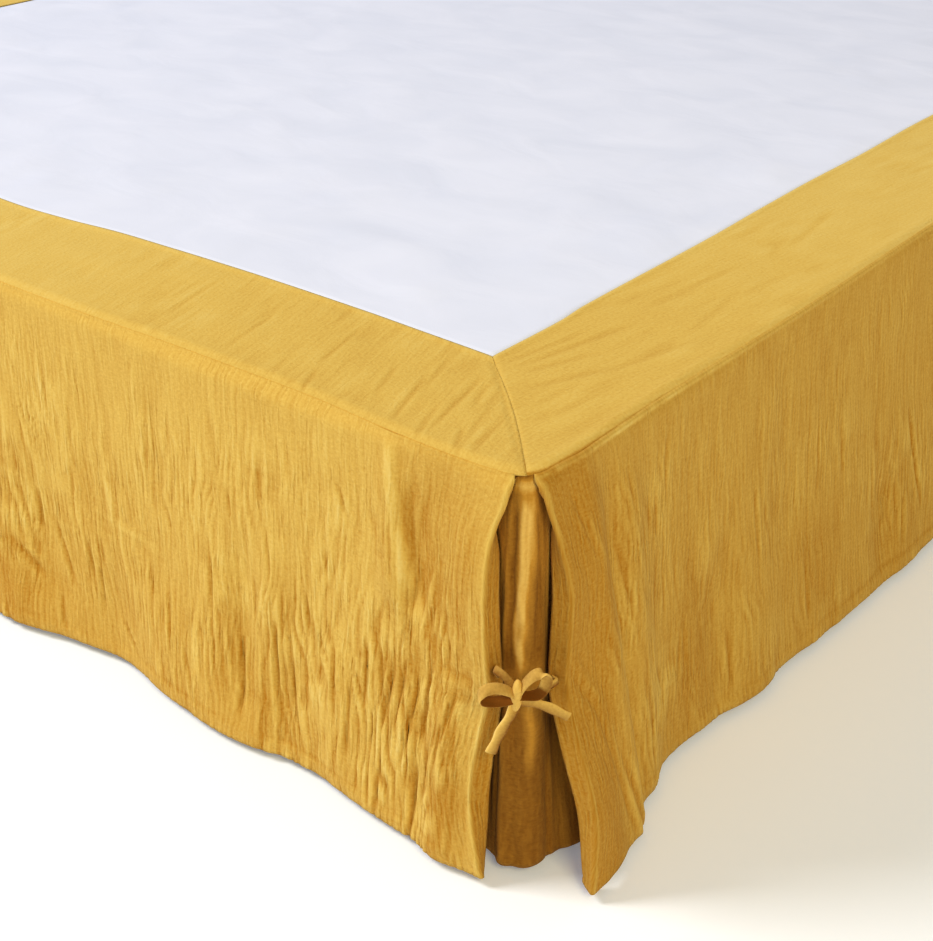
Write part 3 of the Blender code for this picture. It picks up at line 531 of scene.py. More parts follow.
# single creases: along and depth at both ends, then half width and height in mm (a valley below zero)
creases = fromMillimetres(
    (0, 1, 2, 3),
    foot=(
        (294, 256, 294, 326, 2.6, -2.6), (251, 220, 254, 288, 2.2, -1.8), (237, 259, 235, 290, 2.2, -2.0),
        (543, 232, 526, 286, 2.8, -2.4), (500, 238, 497, 265, 2.6, -2.0), (566, 202, 565, 239, 2.6, -2.2),
        (595, 270, 569, 292, 4.0, -2.4), (468, 198, 402, 207, 3.4, 0.8), (462, 311, 445, 334, 2.6, -1.8),
        (487, 259, 489, 307, 2.2, -1.6), (304, 116, 300, 139, 2.2, -1.4), (385, 153, 378, 177, 2.4, -1.4),
        (362, 294, 355, 329, 2.4, -1.5), (182, 65, 171, 91, 2.2, -1.5), (220, 178, 215, 215, 2.2, -1.8),
        (278, 189, 276, 223, 2.2, -1.6), (134, 192, 132, 232, 2.2, -2.0), (121, 208, 129, 260, 2.4, -2.4),
        (108, 199, 116, 253, 2.2, -2.2), (95, 210, 108, 288, 2.6, -2.8), (82, 190, 87, 251, 2.4, -2.4),
        (80, 261, 84, 311, 2.2, -2.0), (92, 288, 96, 353, 2.6, -2.2), (53, 200, 64, 244, 2.6, -2.2),
        (148, 186, 149, 245, 2.2, -1.8), (166, 243, 169, 313, 2.2, -1.8), (184, 221, 183, 282, 2.2, -1.6),
        (131, 298, 135, 355, 2.4, -2.0), (127, 12, 122, 70, 5.0, 1.5), (120, 78, 109, 128, 5.0, 1.4),
        (108, 40, 109, 88, 3.4, -1.0), (67, 132, 61, 170, 2.4, -1.4), (326, 181, 326, 232, 2.2, -1.6),
        (409, 234, 409, 288, 2.4, -1.7), (196, 111, 194, 158, 2.0, -1.3), (348, 64, 349, 102, 2.0, -1.2),
        (508, 95, 510, 136, 2.2, -1.2), (613, 340, 606, 363, 3.0, -1.8), (543, 311, 540, 342, 2.6, -1.8),
        (384, 246, 382, 288, 2.2, -1.4), (260, 136, 258, 174, 2.0, -1.3), (34, 180, 68, 178, 3.6, -0.8),
        (38, 197, 80, 199, 3.6, -0.6),
    ),
    right=(
        (621, 197, 643, 285, 3.0, -2.6), (606, 277, 606, 321, 2.6, -2.0), (177, 37, 176, 78, 2.2, -1.4),
        (283, 276, 287, 326, 2.4, -1.6), (214, 228, 217, 273, 2.4, -1.5), (475, 143, 479, 193, 2.2, -1.4),
        (20, 160, 50, 210, 3.0, -2.0), (50, 210, 84, 340, 3.0, -1.4), (26, 150, 60, 212, 3.0, 1.2),
        (45, 32, 65, 87, 2.4, -1.6), (108, 106, 119, 162, 2.2, -1.4), (31, 62, 30, 122, 2.6, 0.9),
        (88, 170, 102, 235, 2.4, -1.5), (148, 202, 158, 268, 2.2, -1.2), (80, 282, 107, 374, 3.0, -1.8),
        (317, 148, 325, 213, 2.2, -1.2), (411, 255, 418, 314, 2.4, -1.4), (118, 41, 126, 88, 2.0, -1.1),
        (541, 214, 548, 275, 2.4, -1.4),
    ),
    left=(
        (60, 110, 70, 190, 2.6, 2.0), (110, 180, 118, 260, 2.4, -1.8), (300, 120, 304, 190, 2.4, -1.5),
        (560, 200, 556, 280, 2.6, -2.0), (900, 150, 906, 220, 2.6, -1.7), (1250, 180, 1246, 270, 2.8, -2.0),
        (1600, 120, 1606, 190, 2.6, -1.6),
    ),
)
# painted shade where the cloth turns from the light, painted light where the share is below zero: along, depth,
# half sizes, share
shades = fromMillimetres(
    (0, 1, 2, 3),
    foot=(
        (60, 120, 55, 110, 0.75), (40, 300, 24, 60, 0.75), (620, 310, 60, 60, 0.5), (260, 330, 40, 30, 0.3),
        (110, 230, 30, 40, 0.25), (480, 250, 30, 60, 0.15), (114, 115, 5, 30, -0.4), (96, 70, 14, 50, 0.4),
        (30, 290, 13, 85, -0.8), (33, 130, 10, 70, -0.3),
    ),
    right=(
        (30, 200, 35, 180, 0.85), (80, 110, 30, 80, 0.3), (230, 270, 35, 80, 0.55), (430, 260, 60, 70, 0.25),
        (600, 290, 40, 60, 0.3),
    ),
    left=(
        (30, 200, 35, 180, 0.7), (300, 260, 40, 80, 0.4), (620, 280, 50, 70, 0.35), (920, 260, 50, 80, 0.35),
        (1240, 280, 50, 70, 0.35), (1580, 270, 50, 80, 0.35),
    ),
)
# how crinkles lean: distance from the corner, metres along per metre down
leans = fromMillimetres(
    (0,),
    foot=(
        (20, 0.0), (120, -0.02), (300, 0.02), (450, -0.03), (620, -0.14), (750, -0.16), (1000, -0.05),
        (1300, 0.04), (1600, 0.0),
    ),
    right=(
        (20, 0.06), (80, 0.12), (200, 0.1), (400, 0.04), (600, 0.02), (900, -0.03), (1400, 0.04), (2000, 0.0),
    ),
    left=(
        (20, 0.06), (100, 0.1), (300, 0.06), (700, -0.03), (1200, 0.04), (2000, 0.0),
    ),
)


def pleats(line, depth, across, seed):
    # side by side with round tops and narrow valleys, wandering into each other
    drift = 1.2 * grain(line / (3.0 * across), depth / 0.090, seed)
    drift = drift + 0.45 * grain(line / (1.3 * across), depth / 0.035, seed + 20)
    return 2.0 * np.abs(np.sin(math.pi * (line / across + drift))) - 1.2


def creaseHeight(rows, along, depth):
    total = np.zeros_like(along)
    for along0, depth0, along1, depth1, widthMm, height in rows:
        aheadAlong, aheadDepth = along1 - along0, depth1 - depth0
        length = math.hypot(aheadAlong, aheadDepth)
        share = ((along - along0) * aheadAlong + (depth - depth0) * aheadDepth) / length**2
        off = ((along - along0) * aheadDepth - (depth - depth0) * aheadAlong) / length / (0.001 * widthMm)
        ends = smooth((share + 0.25) / 0.5) * smooth((1.25 - share) / 0.5)
        total += height * ends * (bell(off) - 0.35 * bell(np.abs(off), 2.0))
    return total


def crinkleHeight(side, along, depth):
    # height in metres, painted shade and light from -1 in the valleys to 1 on the crests, and how crinkled the
    # cloth is
    seed, share = dropLook[side]["seed"], dropLook[side]["share"]
    lean = curveAt(leans[side], 1, along)
    wander = 0.0040 * grain(along / 0.040, depth / 0.070, seed + 1)
    wander = wander + 0.0012 * grain(along / 0.013, depth / 0.024, seed + 7)
    line = along - lean * depth + wander
    patch = np.zeros_like(along)
    for centre, middle, reach, stretch, height in patches[side]:
        patch += height * bell(along, centre, reach) * bell(depth, middle, stretch)
    fine = grain(line / 0.0045, depth / 0.030, seed + 2)
    mid = pleats(line, depth, 0.0088, seed + 3) * (0.65 + 0.8 * grain(line / 0.016, depth / 0.045, seed + 8))
    weft = pleats(depth + 0.2 * wander, along, 0.0110, seed + 10)
    weft = weft * np.clip(grain(along / 0.03, depth / 0.03, seed + 11) + 0.2, 0, 1)
    broad = grain(line / 0.026, depth / 0.090, seed + 4)
    # calm under the seam and by the slit's head, more crinkled lower down
    uneven = 0.62 + 0.34 * grain(along / 0.050, depth / 0.055, seed + 5)
    uneven = uneven * (0.50 + 0.60 * smooth((depth - 0.02) / 0.09))
    uneven = uneven * (1.0 - 0.5 * bell(along, 0.0, 0.10) * bell(depth, 0.0, 0.05))
    blots = grain(along / 0.013, depth / 0.015, seed + 6) * np.clip(patch - 0.25, 0, 0.5)
    small = dropLook["fineMm"] * fine * np.clip(uneven + 0.7 * patch, 0.1, 2.0) * share
    ridges = dropLook["midMm"] * np.clip(0.50 * uneven + 0.42 * patch, 0.0, 0.80) * share * mid
    across = dropLook["weftMm"] * weft * np.clip(0.35 + patch, 0.0, 1.0)
    single = creaseHeight(creases[side], along, depth)
    height = small + ridges + across + single + dropLook["broadMm"] * broad * uneven + 0.9 * blots
    relief = 0.9 * small + 1.1 * ridges + across + 0.7 * single + 0.2 * broad * uneven + 0.9 * blots
    crinkled = 0.08 + 0.60 * np.clip(uneven + 0.25 * patch, 0.1, 1.2) * share
    return 0.001 * height, np.clip(relief / 1.3, -1.0, 1.0), crinkled


def foldOut(side, along, height, far=False):
    total = np.zeros(np.broadcast(along, height).shape)
    for place, lean, width, depth, top, bottom in folds[side]:
        if far:
            place, lean = spans[side] - place, -lean
        window = smooth((height - top) / 0.22) * smooth((bottom - height) / 0.15)
        total += depth * bell(along, place + lean * height, width) * window
    return total


def slitSection(slit, height, part, amount):
    turnRadius, returnWidth = 0.0017, 0.018
    along = curveAt(slit, 1, height)
    out = curveAt(slit, 2, height)
    turn = np.radians(curveAt(slit, 3, height))
    angle = turn * amount if part == "arc" else turn
    flat = (returnWidth - turnRadius * turn) * (amount if part == "flat" else 0.0)
    return (
        along - turnRadius * np.sin(angle) - flat * np.cos(angle),
        out - turnRadius * (1.0 - np.cos(angle)) - flat * np.sin(angle),
    )


def mainSection(side, slit, place, height, far):
    slitReach, edgeBlend, hangPower = 0.13, 0.060, 1.35
    past = place - bed["slitStart"]
    rows = hems[side]
    if far:
        rows = tuple((spans[side] - along, out) for along, out in reversed(rows))
    out = curveAt(rows, 1, place) * height**hangPower
    slitAlong = curveAt(slit, 1, height)
    slitOut = curveAt(slit, 2, height)
    blended = slitAlong + past + (bed["slitStart"] - slitAlong) * smooth(past / slitReach)
    along = np.where(past < slitReach, blended, place)
    out = np.where(past < slitReach, slitOut + (out - slitOut) * smooth(past / edgeBlend), out)
    return along, out + smooth(past / 0.02) * foldOut(side, along, height, far)


def dropRows():
    # shares of the drop, close together at the seam and at the hem; the first row turns in under the border
    heights = np.linspace(0.0, 1.0, dropLook["rows"]) ** 1.08
    seamRows = (0.002, 0.004, 0.0065, 0.009, 0.012, 0.0155, 0.02)
    hemRows = (0.966, 0.972, 0.978, 0.99)
    heights = np.unique(np.concatenate([[0.0], seamRows, heights[heights > 0.022], hemRows]))
    return np.concatenate([[0.0], heights])


def dropColumns(side):
    # the return, the turn of the slit's fold and the panel, each column with how far along its part it is
    half = spans[side] / 2 if side == "foot" else spans[side]
    turned = [("flat", amount) for amount in np.linspace(1.0, 0.0, 9)[:-1]]
    turned += [("arc", amount) for amount in np.linspace(1.0, 0.0, 6)[:-1]]
    start, coarse = bed["slitStart"], dropLook["coarseStep"]
    panel = seenPlaces(start, half, dropLook["seen"], dropLook[side]["step"], coarse)
    columns = turned + [("main", place) for place in panel]
    if side == "foot":
        back = seenPlaces(start, half, dropLook["farSeen"], dropLook["farStep"], coarse)
        mirrored = turned + [("main", place) for place in back[:-1]]
        columns += [("far " + part, amount) for part, amount in reversed(mirrored)]
    return columns


def slitTone(side, part, amount):
    # the return lies in the slit's shade, its pressed fold catches the light
    if part == "flat":
        return -1.0
    if part == "arc":
        return 0.75 - 1.6 * amount
    start = bed["slitStart"]
    return 0.65 * bell(amount, start, 0.0016) - dropLook[side]["slitShade"] * bell(amount, 2 * start, 0.024)


def dropTone(side, alongs, depths, edge):
    # painted light and shade: a painted shadow under the seam, darker at the hem's stitching, towards the hem
    # and all over (most on the side drops, painted as in shade), and painted shade where the cloth turns from
    # the light
    look = dropLook[side]
    tone = -0.35 * bell(bed["drop"] - depths, dropLook["hemLine"], 0.0013)
    seamWide = 0.0018 + look["seamWider"] * bell(alongs, 0.12, 0.10)
    nearCorner = 0.35 + 0.65 * bell(alongs, 0.0, 0.20)
    tone -= look["seamShadow"] * nearCorner * bell(depths, 0.0, seamWide) * smooth(edge / 0.004)
    tone -= look["lowTone"] * smooth((depths - 0.10) / 0.20) + look["shadeTone"]
    for centre, middle, reach, stretch, share in shades[side]:
        tone -= share * bell(alongs, centre, reach) * bell(depths, middle, stretch)
    # painted highlight: the drop's own fold shows as a pale puckered rim under the border
    rim = bell(depths, 0.0050, 0.0018) * (0.6 + 0.6 * grain(alongs / 0.006, depths * 0, look["seed"] + 13))
    return tone + look["rimHighlight"] * rim * bell(alongs, 0.10, 0.14) * smooth(edge / 0.004)


def dropGrid(side, heights, columns):
    # its points, how far each lies along the bed and past the slit's edge, and each column's own tone
    slit, span = slits[side], spans[side]
    grid = np.zeros((len(heights), len(columns), 3))
    alongs = np.zeros(grid.shape[:2])
    edge = np.zeros(grid.shape[:2])
    atSlit = np.zeros(len(columns))
    for number, (part, amount) in enumerate(columns):
        far = part.startswith("far ")
        part = part.removeprefix("far ")
        depth = bed["drop"] * heights
        atSlit[number] = slitTone(side, part, amount)
        if part == "main":
            along, out = mainSection(side, slit, amount, heights, far)
            edge[:, number] = amount - bed["slitStart"]
        else:
            along, out = slitSection(slit, heights, part, amount)
            # the return's top is cut away, clear of the border
            behind = amount if part == "arc" else 1.0
            depth = np.maximum(depth, 0.0115 * behind + 0.4 * depth)
        if far:
            along = span - along
        out = out - seamInward(side, np.clip(along, 0.0, span)) * (1.0 - smooth(depth / 0.009))
        if part == "main":
            # the allowance turns in under the border
            out[0] -= dropLook["tuck"] * smooth(edge[0, number] / 0.006)
            depth[0] = dropLook["tuckDown"]
        grid[:, number] = toWorld(side, along, out, seamHeight - depth)
        alongs[:, number] = along
    return grid, alongs, edge, atSlit


def buildDrop(side):
    look = dropLook[side]
    heights, columns = dropRows(), dropColumns(side)
    grid, alongs, edge, atSlit = dropGrid(side, heights, columns)
    outward = {"foot": (0, -1, 0), "right": (1, 0, 0), "left": (-1, 0, 0)}[side]
    middleRow = len(heights) // 2
    normals = gridNormals(grid)
    if np.dot(normals[middleRow, len(columns) // 2], outward) < 0:
        normals = -normals
    depths = distances(grid, 0)
    widths = distances(grid, 1)[middleRow][None, :] * np.ones((len(heights), 1))
    bumps, relief, crinkled = crinkleHeight(side, alongs, depths)
    calm = smooth((heights - 0.004) / 0.025)[:, None] * (0.35 + 0.65 * smooth(edge / 0.02))
    hem = bed["drop"] - depths
    stitch = -0.00045 * bell(hem, dropLook["hemLine"], 0.0011)
    puff = 0.0005 * bell(hem, 0.0045, 0.0035) * (1 + 0.6 * grain(alongs / 0.006, hem * 0, look["seed"] + 9))
    # the seam's welt, with short gathers hanging from it
    welt = look["welt"] * bell(depths, 0.0045, 0.0022) * smooth(edge / 0.02)
    gathers = 0.00030 * grain(alongs / 0.0040, depths / 0.03, look["seed"] + 12) * bell(depths, 0.014, 0.009)
    gathers = gathers * look["gathers"]
    # painted light and shade: crinkle valleys darker, the slit's tones, the welt's and gathers' crests paler,
    # and the drop's painted tones
    relief = relief * calm + atSlit[None, :] + 350 * welt + 600 * gathers + dropTone(side, alongs, depths, edge)
    grid = grid + normals * (bumps * calm + stitch + puff + welt + gathers)[..., None]
    piece = clothPiece(
        "drop" + side.capitalize(), grid, widths, depths, cloth["gauze"], gauze,
        flip=side == "left", relief=np.clip(relief, -1.0, 1.0), crinkled=crinkled,
    )
    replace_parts(piece, "drop_" + side)


for side in ("right", "foot", "left"):
    buildDrop(side)
print("drops hung")

bandLook = {
    "roll": 0.009,
    "crinkleMm": 0.18,
    "mitreBow": 0.0026,
    "mitreGap": 0.00003,
    "overlap": 0.0015,  # over the white panel
    "lipOut": 0.0004,
    "foot": {
        "flat": (1.600, 0.146), "area": 0.209, "seed": 83, "puff": 0.0003,
        "rows": 46, "seen": 0.70, "step": 0.0018, "coarse": 0.0060,
    },
    "right": {
        "flat": (1.995, 0.146), "area": 0.277, "seed": 71, "puff": 0.0008,
        "rows": 64, "seen": 0.95, "step": 0.0026, "coarse": 0.0096,
    },
}
bandLook["left"] = {**bandLook["right"], "seed": 97, "step": 0.0038}
# single creases: along and inward at both ends, then half width and height in mm
bandCreases = fromMillimetres(
    (0, 1, 2, 3),
    foot=(
        (141, 20, 164, 83, 2.4, -1.4), (109, 29, 130, 110, 2.4, -1.0), (68, 2, 95, 82, 2.4, -0.9),
        (177, 39, 194, 82, 2.4, -0.9), (108, 5, 127, 56, 2.4, -0.9), (225, 5, 240, 40, 2.4, -1.0),
        (74, 8, 86, 34, 2.4, -1.4), (60, 14, 71, 50, 2.4, -0.8), (150, 60, 172, 124, 2.4, -0.8),
        (250, 60, 266, 118, 2.4, -0.8), (330, 30, 342, 90, 2.4, -0.8), (420, 50, 436, 120, 2.4, -0.8),
        (105, 70, 117, 100, 2.4, -0.8), (900, 40, 915, 100, 2.4, -0.8), (1250, 30, 1268, 100, 2.4, -0.9),
    ),
    right=(
        (150, 130, 230, 118, 3.6, -0.7), (150, 120, 260, 98, 3.8, -0.7), (145, 108, 200, 88, 3.8, -0.6),
        (125, 88, 180, 66, 4.0, -0.6), (190, 58, 270, 40, 4.0, -0.6), (330, 104, 430, 94, 4.0, -0.6),
        (300, 50, 390, 62, 4.2, -0.5), (520, 80, 620, 94, 4.2, -0.6), (820, 100, 920, 86, 4.2, -0.6),
    ),
    left=(
        (150, 118, 250, 100, 4.0, -0.7), (240, 50, 340, 64, 4.2, -0.6), (700, 90, 800, 76, 4.2, -0.6),
        (1200, 50, 1300, 64, 4.2, -0.6), (1600, 100, 1700, 86, 4.2, -0.6),
    ),
)


def bandEdges(side, step, coarse):
    # places along the outer edge with its distance inward, and the same along the inner edge
    span, seen = spans[side], bandLook[side]["seen"]
    corner = bed["seamIn"] + bed["seamBack"]
    for _ in range(20):
        corner = (corner + float(seamInward(side, corner)) + bed["seamBack"]) / 2
    if side == "foot":
        places = seenPlaces(corner, span / 2, seen, step, coarse)
        places = np.concatenate([places, span - places[-2::-1]])
    else:
        places = seenPlaces(corner, span, seen, step, coarse)
    outer = seamInward(side, places) + bed["seamBack"]
    start = bed["band"] + bed["seamIn"]
    end = span - start if side == "foot" else span
    innerAlong = start + (end - start) * (places - places[0]) / (places[-1] - places[0])
    return places, outer, innerAlong, start + curveAt(edges[side], 1, innerAlong)


def bandCrinkle(side, along, inward):
    # lifts off the base only, so the lowest point stays on it
    seed = bandLook[side]["seed"]
    wander = 0.003 * grain(along / 0.04, inward / 0.04, seed)
    if side == "foot":
        line = along - 0.26 * inward + wander
        fine = grain(line / 0.0052, inward / 0.030, seed + 1)
        mid = grain(line / 0.0090, inward / 0.045, seed + 2)
    else:
        line = inward + 0.10 * along + wander
        fine = grain(line / 0.0080, along / 0.040, seed + 1)
        mid = grain(line / 0.0120, along / 0.060, seed + 2)
    uneven = np.clip(0.40 + 0.60 * grain(along / 0.05, inward / 0.045, seed + 3), 0.0, 1.0)
    broad = grain(along / 0.05, inward / 0.03, seed + 4)
    ridges = bandLook["crinkleMm"] * uneven * (2.0 * np.abs(mid) ** 0.8 - 0.9)
    single = 0.55 * creaseHeight(bandCreases[side], along, inward)
    height = 0.16 * fine + ridges + 0.35 * broad + single
    # painted shade in the crinkles' valleys and creases, paler on their crests
    relief = 0.30 * fine * uneven + 0.7 * ridges + 0.8 * single
    return 0.001 * np.maximum(height + 0.75, 0.0), np.clip(relief, -1.0, 1.0)


def bandPlan(side):
    # along and inward over the whole band, with its two edges, seen from above
    look, atFoot = bandLook[side], side == "foot"
    places, outer, innerAlong, inner = bandEdges(side, look["step"], look["coarse"])
    # the long sides' seam rolls over a little by the corner and shades the drop
    lip = bell(places, 0.12, 0.10) * smooth((places - places[0]) / 0.02) * (not atFoot)
    outer = outer - bandLook["lipOut"] * lip
    # from the inner edge to the outer one, with two rows close to the seam
    rows = np.concatenate([np.linspace(0.0, 1.0, look["rows"]), 1 - np.array([0.0012, 0.003]) / bed["band"]])
    share = np.unique(rows)[:, None]
    inner = inner + bandLook["overlap"]
    ends = 1 - 2 * (np.arange(len(places)) / (len(places) - 1)) if atFoot else 1
    innerAlong = innerAlong + bandLook["overlap"] * ends
    along = innerAlong[None] + (places - innerAlong)[None] * share
    inward = inner[None] + (outer - inner)[None] * share
    along[:, 0] += bandLook["mitreGap"]
    # the mitre seam bows a little toward the long side
    across = bandLook["mitreBow"] * np.sin(math.pi * share)
    bow = across * bell(places - places[0], 0.0, 0.03)[None]
    if not atFoot:
        return along + bow, inward - bow, places, outer, inner, lip
    along[:, -1] -= bandLook["mitreGap"]
    endBow = across * bell(places[-1] - places, 0.0, 0.03)[None]
    return along - bow + endBow, inward + bow + endBow, places, outer, inner, lip


def buildBand(side):
    look, atFoot = bandLook[side], side == "foot"
    along, inward, places, outer, inner, lip = bandPlan(side)
    fromOuter = inward - outer[None]
    fromInner = inner[None] - inward
    fromMitre = along - inward
    rise, relief = bandCrinkle(side, along, inward)
    edge = np.minimum(smooth(fromOuter / 0.006), smooth(fromInner / 0.004)) * smooth(np.abs(fromMitre) / 0.008)
    if atFoot:
        edge = edge * smooth((spans[side] - along - inward) / 0.008)
    puffed = (look["puff"] + 0.0009 * lip[None]) * bell(fromOuter, 0.0060, 0.0050)
    dip = bed["seamDip"] * (1.0 - smooth(fromOuter / bandLook["roll"]))
    over = 0.0014 * (1.0 - smooth((fromInner - 0.002) / 0.006))
    pulled = 0.0002 * bell(fromMitre, 0.0, 0.003) * smooth(fromOuter / 0.02)
    grid = toWorld(side, along, -inward, bed["deckHeight"] + rise * edge + puffed + over - dip - pulled)
    # painted highlight on the turned edge against the white panel, painted shade along the mitre
    relief = relief * edge + 1.1 * bell(fromInner, 0.0, 0.0022) - 0.15 * bell(fromMitre, 0.0, 0.0016)
    if not atFoot:
        # painted shadow: near the corner a dark line runs under the rolled seam, with a painted highlight just
        # inside it
        rolledSeamShadow = 2.2 * bell(fromOuter, 0.0, 0.0016) * bell(places, 0.05, 0.11)[None]
        relief = relief + 0.25 * bell(fromOuter, 0.0030, 0.0030) - rolledSeamShadow
    # away from the corner the border lies more open to the light
    relief = relief + 0.10 + 0.40 * smooth((along - 0.20) / 0.55)
    across, down = (along - 0.26 * inward, inward) if atFoot else (inward + 0.10 * along, along)
    piece = clothPiece(
        "band" + side.capitalize(), grid, across, down, cloth["gauze"], gauze,
        flip=side != "left", relief=np.clip(relief, -1.0, 1.0), crinkled=0.15,
    )
    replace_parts(piece, "band_" + side)


for side in ("right", "foot", "left"):
    buildBand(side)
print("border laid")

deckLook = {"step": 0.0115, "creaseMm": 1.3, "flat": (1.330, 1.860)}


def buildDeck():
    sideAlong, sideIn = bandEdges("right", deckLook["step"], deckLook["step"])[2:]
    footAlong, footIn = bandEdges("foot", deckLook["step"], deckLook["step"])[2:]
    start = bed["band"] + bed["seamIn"] + bed["seamGap"]
    topX = hangX - np.concatenate([[start], footAlong[1:-1], [spans["foot"] - start]])
    edgeY = footY + footIn + bed["seamGap"]
    edgeY[0] = edgeY[-1] = footY + start
    rowY = footY + np.concatenate([[start], sideAlong[1:]])
    halfWidth = hangX - np.concatenate([[start], sideIn[1:] + bed["seamGap"]])
    share = (rowY - rowY[0]) / (rowY[-1] - rowY[0])
    x = topX[None, :] * (halfWidth / halfWidth[0])[:, None]
    y = edgeY[None, :] + (headY - edgeY)[None, :] * share[:, None]
    ruck = grain(x / 0.10, y / 0.035, 5) + 0.6 * grain(x / 0.035, y / 0.09, 6)
    fromBand = np.minimum(halfWidth[:, None] - np.abs(x), y - edgeY[None, :])
    near = 0.7 * bell(fromBand, 0.0, 0.16) + 0.3
    rise = 0.001 * deckLook["creaseMm"] * np.maximum(ruck * near + 0.25, 0) * smooth(fromBand / 0.03)
    grid = np.stack([x, y, linenHeight + rise], -1)
    piece = clothPiece("deckPanel", grid, x, y, cloth["linen"], percale)
    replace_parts(piece, "deck")


buildDeck()
print("deck laid")

insertLook = {
    "reach": 0.125,  # to each side of the corner
    "roundness": 0.014,
    "drop": 0.349,
    "flat": (0.250, 0.345),
    "columns": 141,
    "rows": 96,
    "seeds": {"right": 111, "left": 121},
}
# place round the corner, how far out at the top, in the middle and at the hem
insertLook |= fromMillimetres(
    (0, 1, 2, 3),
    shape=(
        (-125, 0, 1, 8), (-80, 0, 0, 6), (-45, 0, 1, 7), (-26, 0, 0, 4), (-20, 0, 4, 6), (-12, -3, 5, 10),
        (2, -3, 6, 13), (13, 0, 6, 13), (20, 0, 5, 14), (28, 0, 0, 15), (46, 0, 2, 24), (70, 0, 1, 20),
        (100, 0, 2, 18), (125, 0, 1, 14),
    ),
)
# standing creases: place round the corner, half width, height, first and last share of the drop
insertLook |= fromMillimetres(
    (0, 1, 2),
    creases=(
        (-12, 2.2, 0.8, 0.03, 0.46), (-7.5, 2, -1.4, 0.05, 0.5), (-2, 2, 2, 0.02, 0.52),
        (6, 4, 0.8, 0.02, 0.26), (8.5, 2.5, -1.2, 0.06, 0.5), (4, 3, 1.8, 0.48, 0.78),
        (-4, 3, -1.6, 0.55, 1.1), (-16, 3, -1.2, 0.5, 1.1), (16, 3.5, -1.4, 0.5, 1.1),
        (-10.5, 3.5, 1.2, 0.6, 1.1),
    ),
)
# the lit fold down the upper half: share of the drop, place round the corner
insertLook |= fromMillimetres(
    (1,),
    path=(
        (0.0, 1), (0.2, 0), (0.29, -2.2), (0.37, -5.5), (0.44, -1.5), (0.52, 0),
    ),
)


def insertFold(place, height):
    # how far out the insert lies: one smooth curve down each column through 0, the middle and the hem
    top, middle, hem = (curveAt(insertLook["shape"], column, place) for column in (1, 2, 3))
    upper = hermite(np.clip(height * 2, 0, 1), 0.0, middle, middle, hem * 0.5)
    lower = hermite(np.clip(height * 2 - 1, 0, 1), middle, hem * 0.5, hem, hem - middle)
    return np.where(height <= 0.5, upper, lower) + top * (1.0 - smooth(height / 0.05))


def insertCrumple(place, height, seed):
    crumple = 0.0004 * grain(place / 0.0042, height / 0.16, seed)
    crumple = crumple + 0.0007 * grain(place / 0.011, height / 0.25, seed + 1)
    for middleLine, width, tall, top, bottom in insertLook["creases"]:
        wander = 0.0014 * grain(height / 0.07, height * 0 + middleLine * 100, seed + 2)
        window = smooth((height - top) / 0.06) * smooth((bottom - height) / 0.12)
        crumple = crumple + tall * bell(place, middleLine + wander, width) * window
    return crumple * smooth(height / 0.06)


def insertTone(place, height, crumple, roll):
    # a narrow lit fold wavers down the upper half, a broad one lies beside it at the top
    path = curveAt(insertLook["path"], 1, height)
    ridge = 1.35 * bell(place, path, 0.0026) * smooth((height - 0.04) / 0.06)
    beside = 0.45 * bell(place, 0.0065, 0.0040) * smooth((0.27 - height) / 0.10)
    ridge = (ridge + beside) * smooth((0.50 - height) / 0.10) - 0.75 * smooth((0.52 - height) / 0.10)
    # the right flank takes light off the turned edge
    rightFlank = smooth((place - 0.015) / 0.006)
    flanks = rightFlank * (0.9 - 0.8 * smooth((height - 0.45) / 0.15))
    low = 0.75 * smooth((height - 0.50) / 0.10) * (1.0 - 0.55 * rightFlank)
    # painted shade: darker down into the slit and in the crumples' valleys, a painted shadow under the border
    # at the top, the rolled top painted paler
    shade = 0.42 - 1.10 * height - 0.6 * bell(height, 0.0, 0.008)
    return np.clip(shade + 480 * crumple + 1.2 * roll + ridge + flanks - low, -1.0, 1.0)


def buildInsert(side):
    roundness = insertLook["roundness"]
    place = np.linspace(-1.0, 1.0, insertLook["columns"])
    place = insertLook["reach"] * np.sign(place) * np.abs(place) ** 1.6
    place, height = np.meshgrid(place, np.linspace(0.0, 1.0, insertLook["rows"]) ** 1.1)
    quarter = roundness * math.pi / 4
    beyond = np.maximum(np.abs(place) - quarter, 0.0)
    angle = math.pi / 4 * np.clip(place / quarter, -1.0, 1.0)
    roll = bell(height, 0.022, 0.010) * bell(place, 0.0, 0.010)
    crumple = insertCrumple(place, height, insertLook["seeds"][side]) + 0.0007 * roll
    reach = roundness + insertFold(place, height) + crumple
    centre = bed["hangOut"] - bed["insertOut"] + roundness
    acrossFoot = centre - reach * np.sin(math.pi / 4 + angle) + np.where(place < 0, beyond, 0.0)
    acrossSide = centre - reach * np.cos(math.pi / 4 + angle) + np.where(place < 0, 0.0, beyond)
    # its top edge is tucked up behind the mitre and lies lower beside it
    highest, lowest = 0.0008, 0.009
    start = highest + (lowest - highest) * smooth((np.abs(place) - 0.008) / 0.0075)
    depth = start + (insertLook["drop"] - start) * height
    x = (hangX - acrossFoot) * (-1 if side == "left" else 1)
    grid = np.stack([x, footY + acrossSide, seamHeight - depth], -1)
    piece = clothPiece(
        "insert" + side.capitalize(), grid, place, depth, cloth["gauze"], shadedGauze,
        flip=side == "left", relief=insertTone(place, height, crumple, roll), crinkled=0.20,
    )
    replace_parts(piece, "insert_" + side)


for side in ("right", "left"):
    buildInsert(side)
print("corner inserts hung")

bowLook = {"width": 0.009, "thickness": 0.0021, "rings": 56, "sides": 20, "flatWidth": 0.0105}
knotLook = {"across": 0.0047, "out": 0.0056, "down": 0.0155, "place": (-0.0086, 0.0100, 0.1700)}
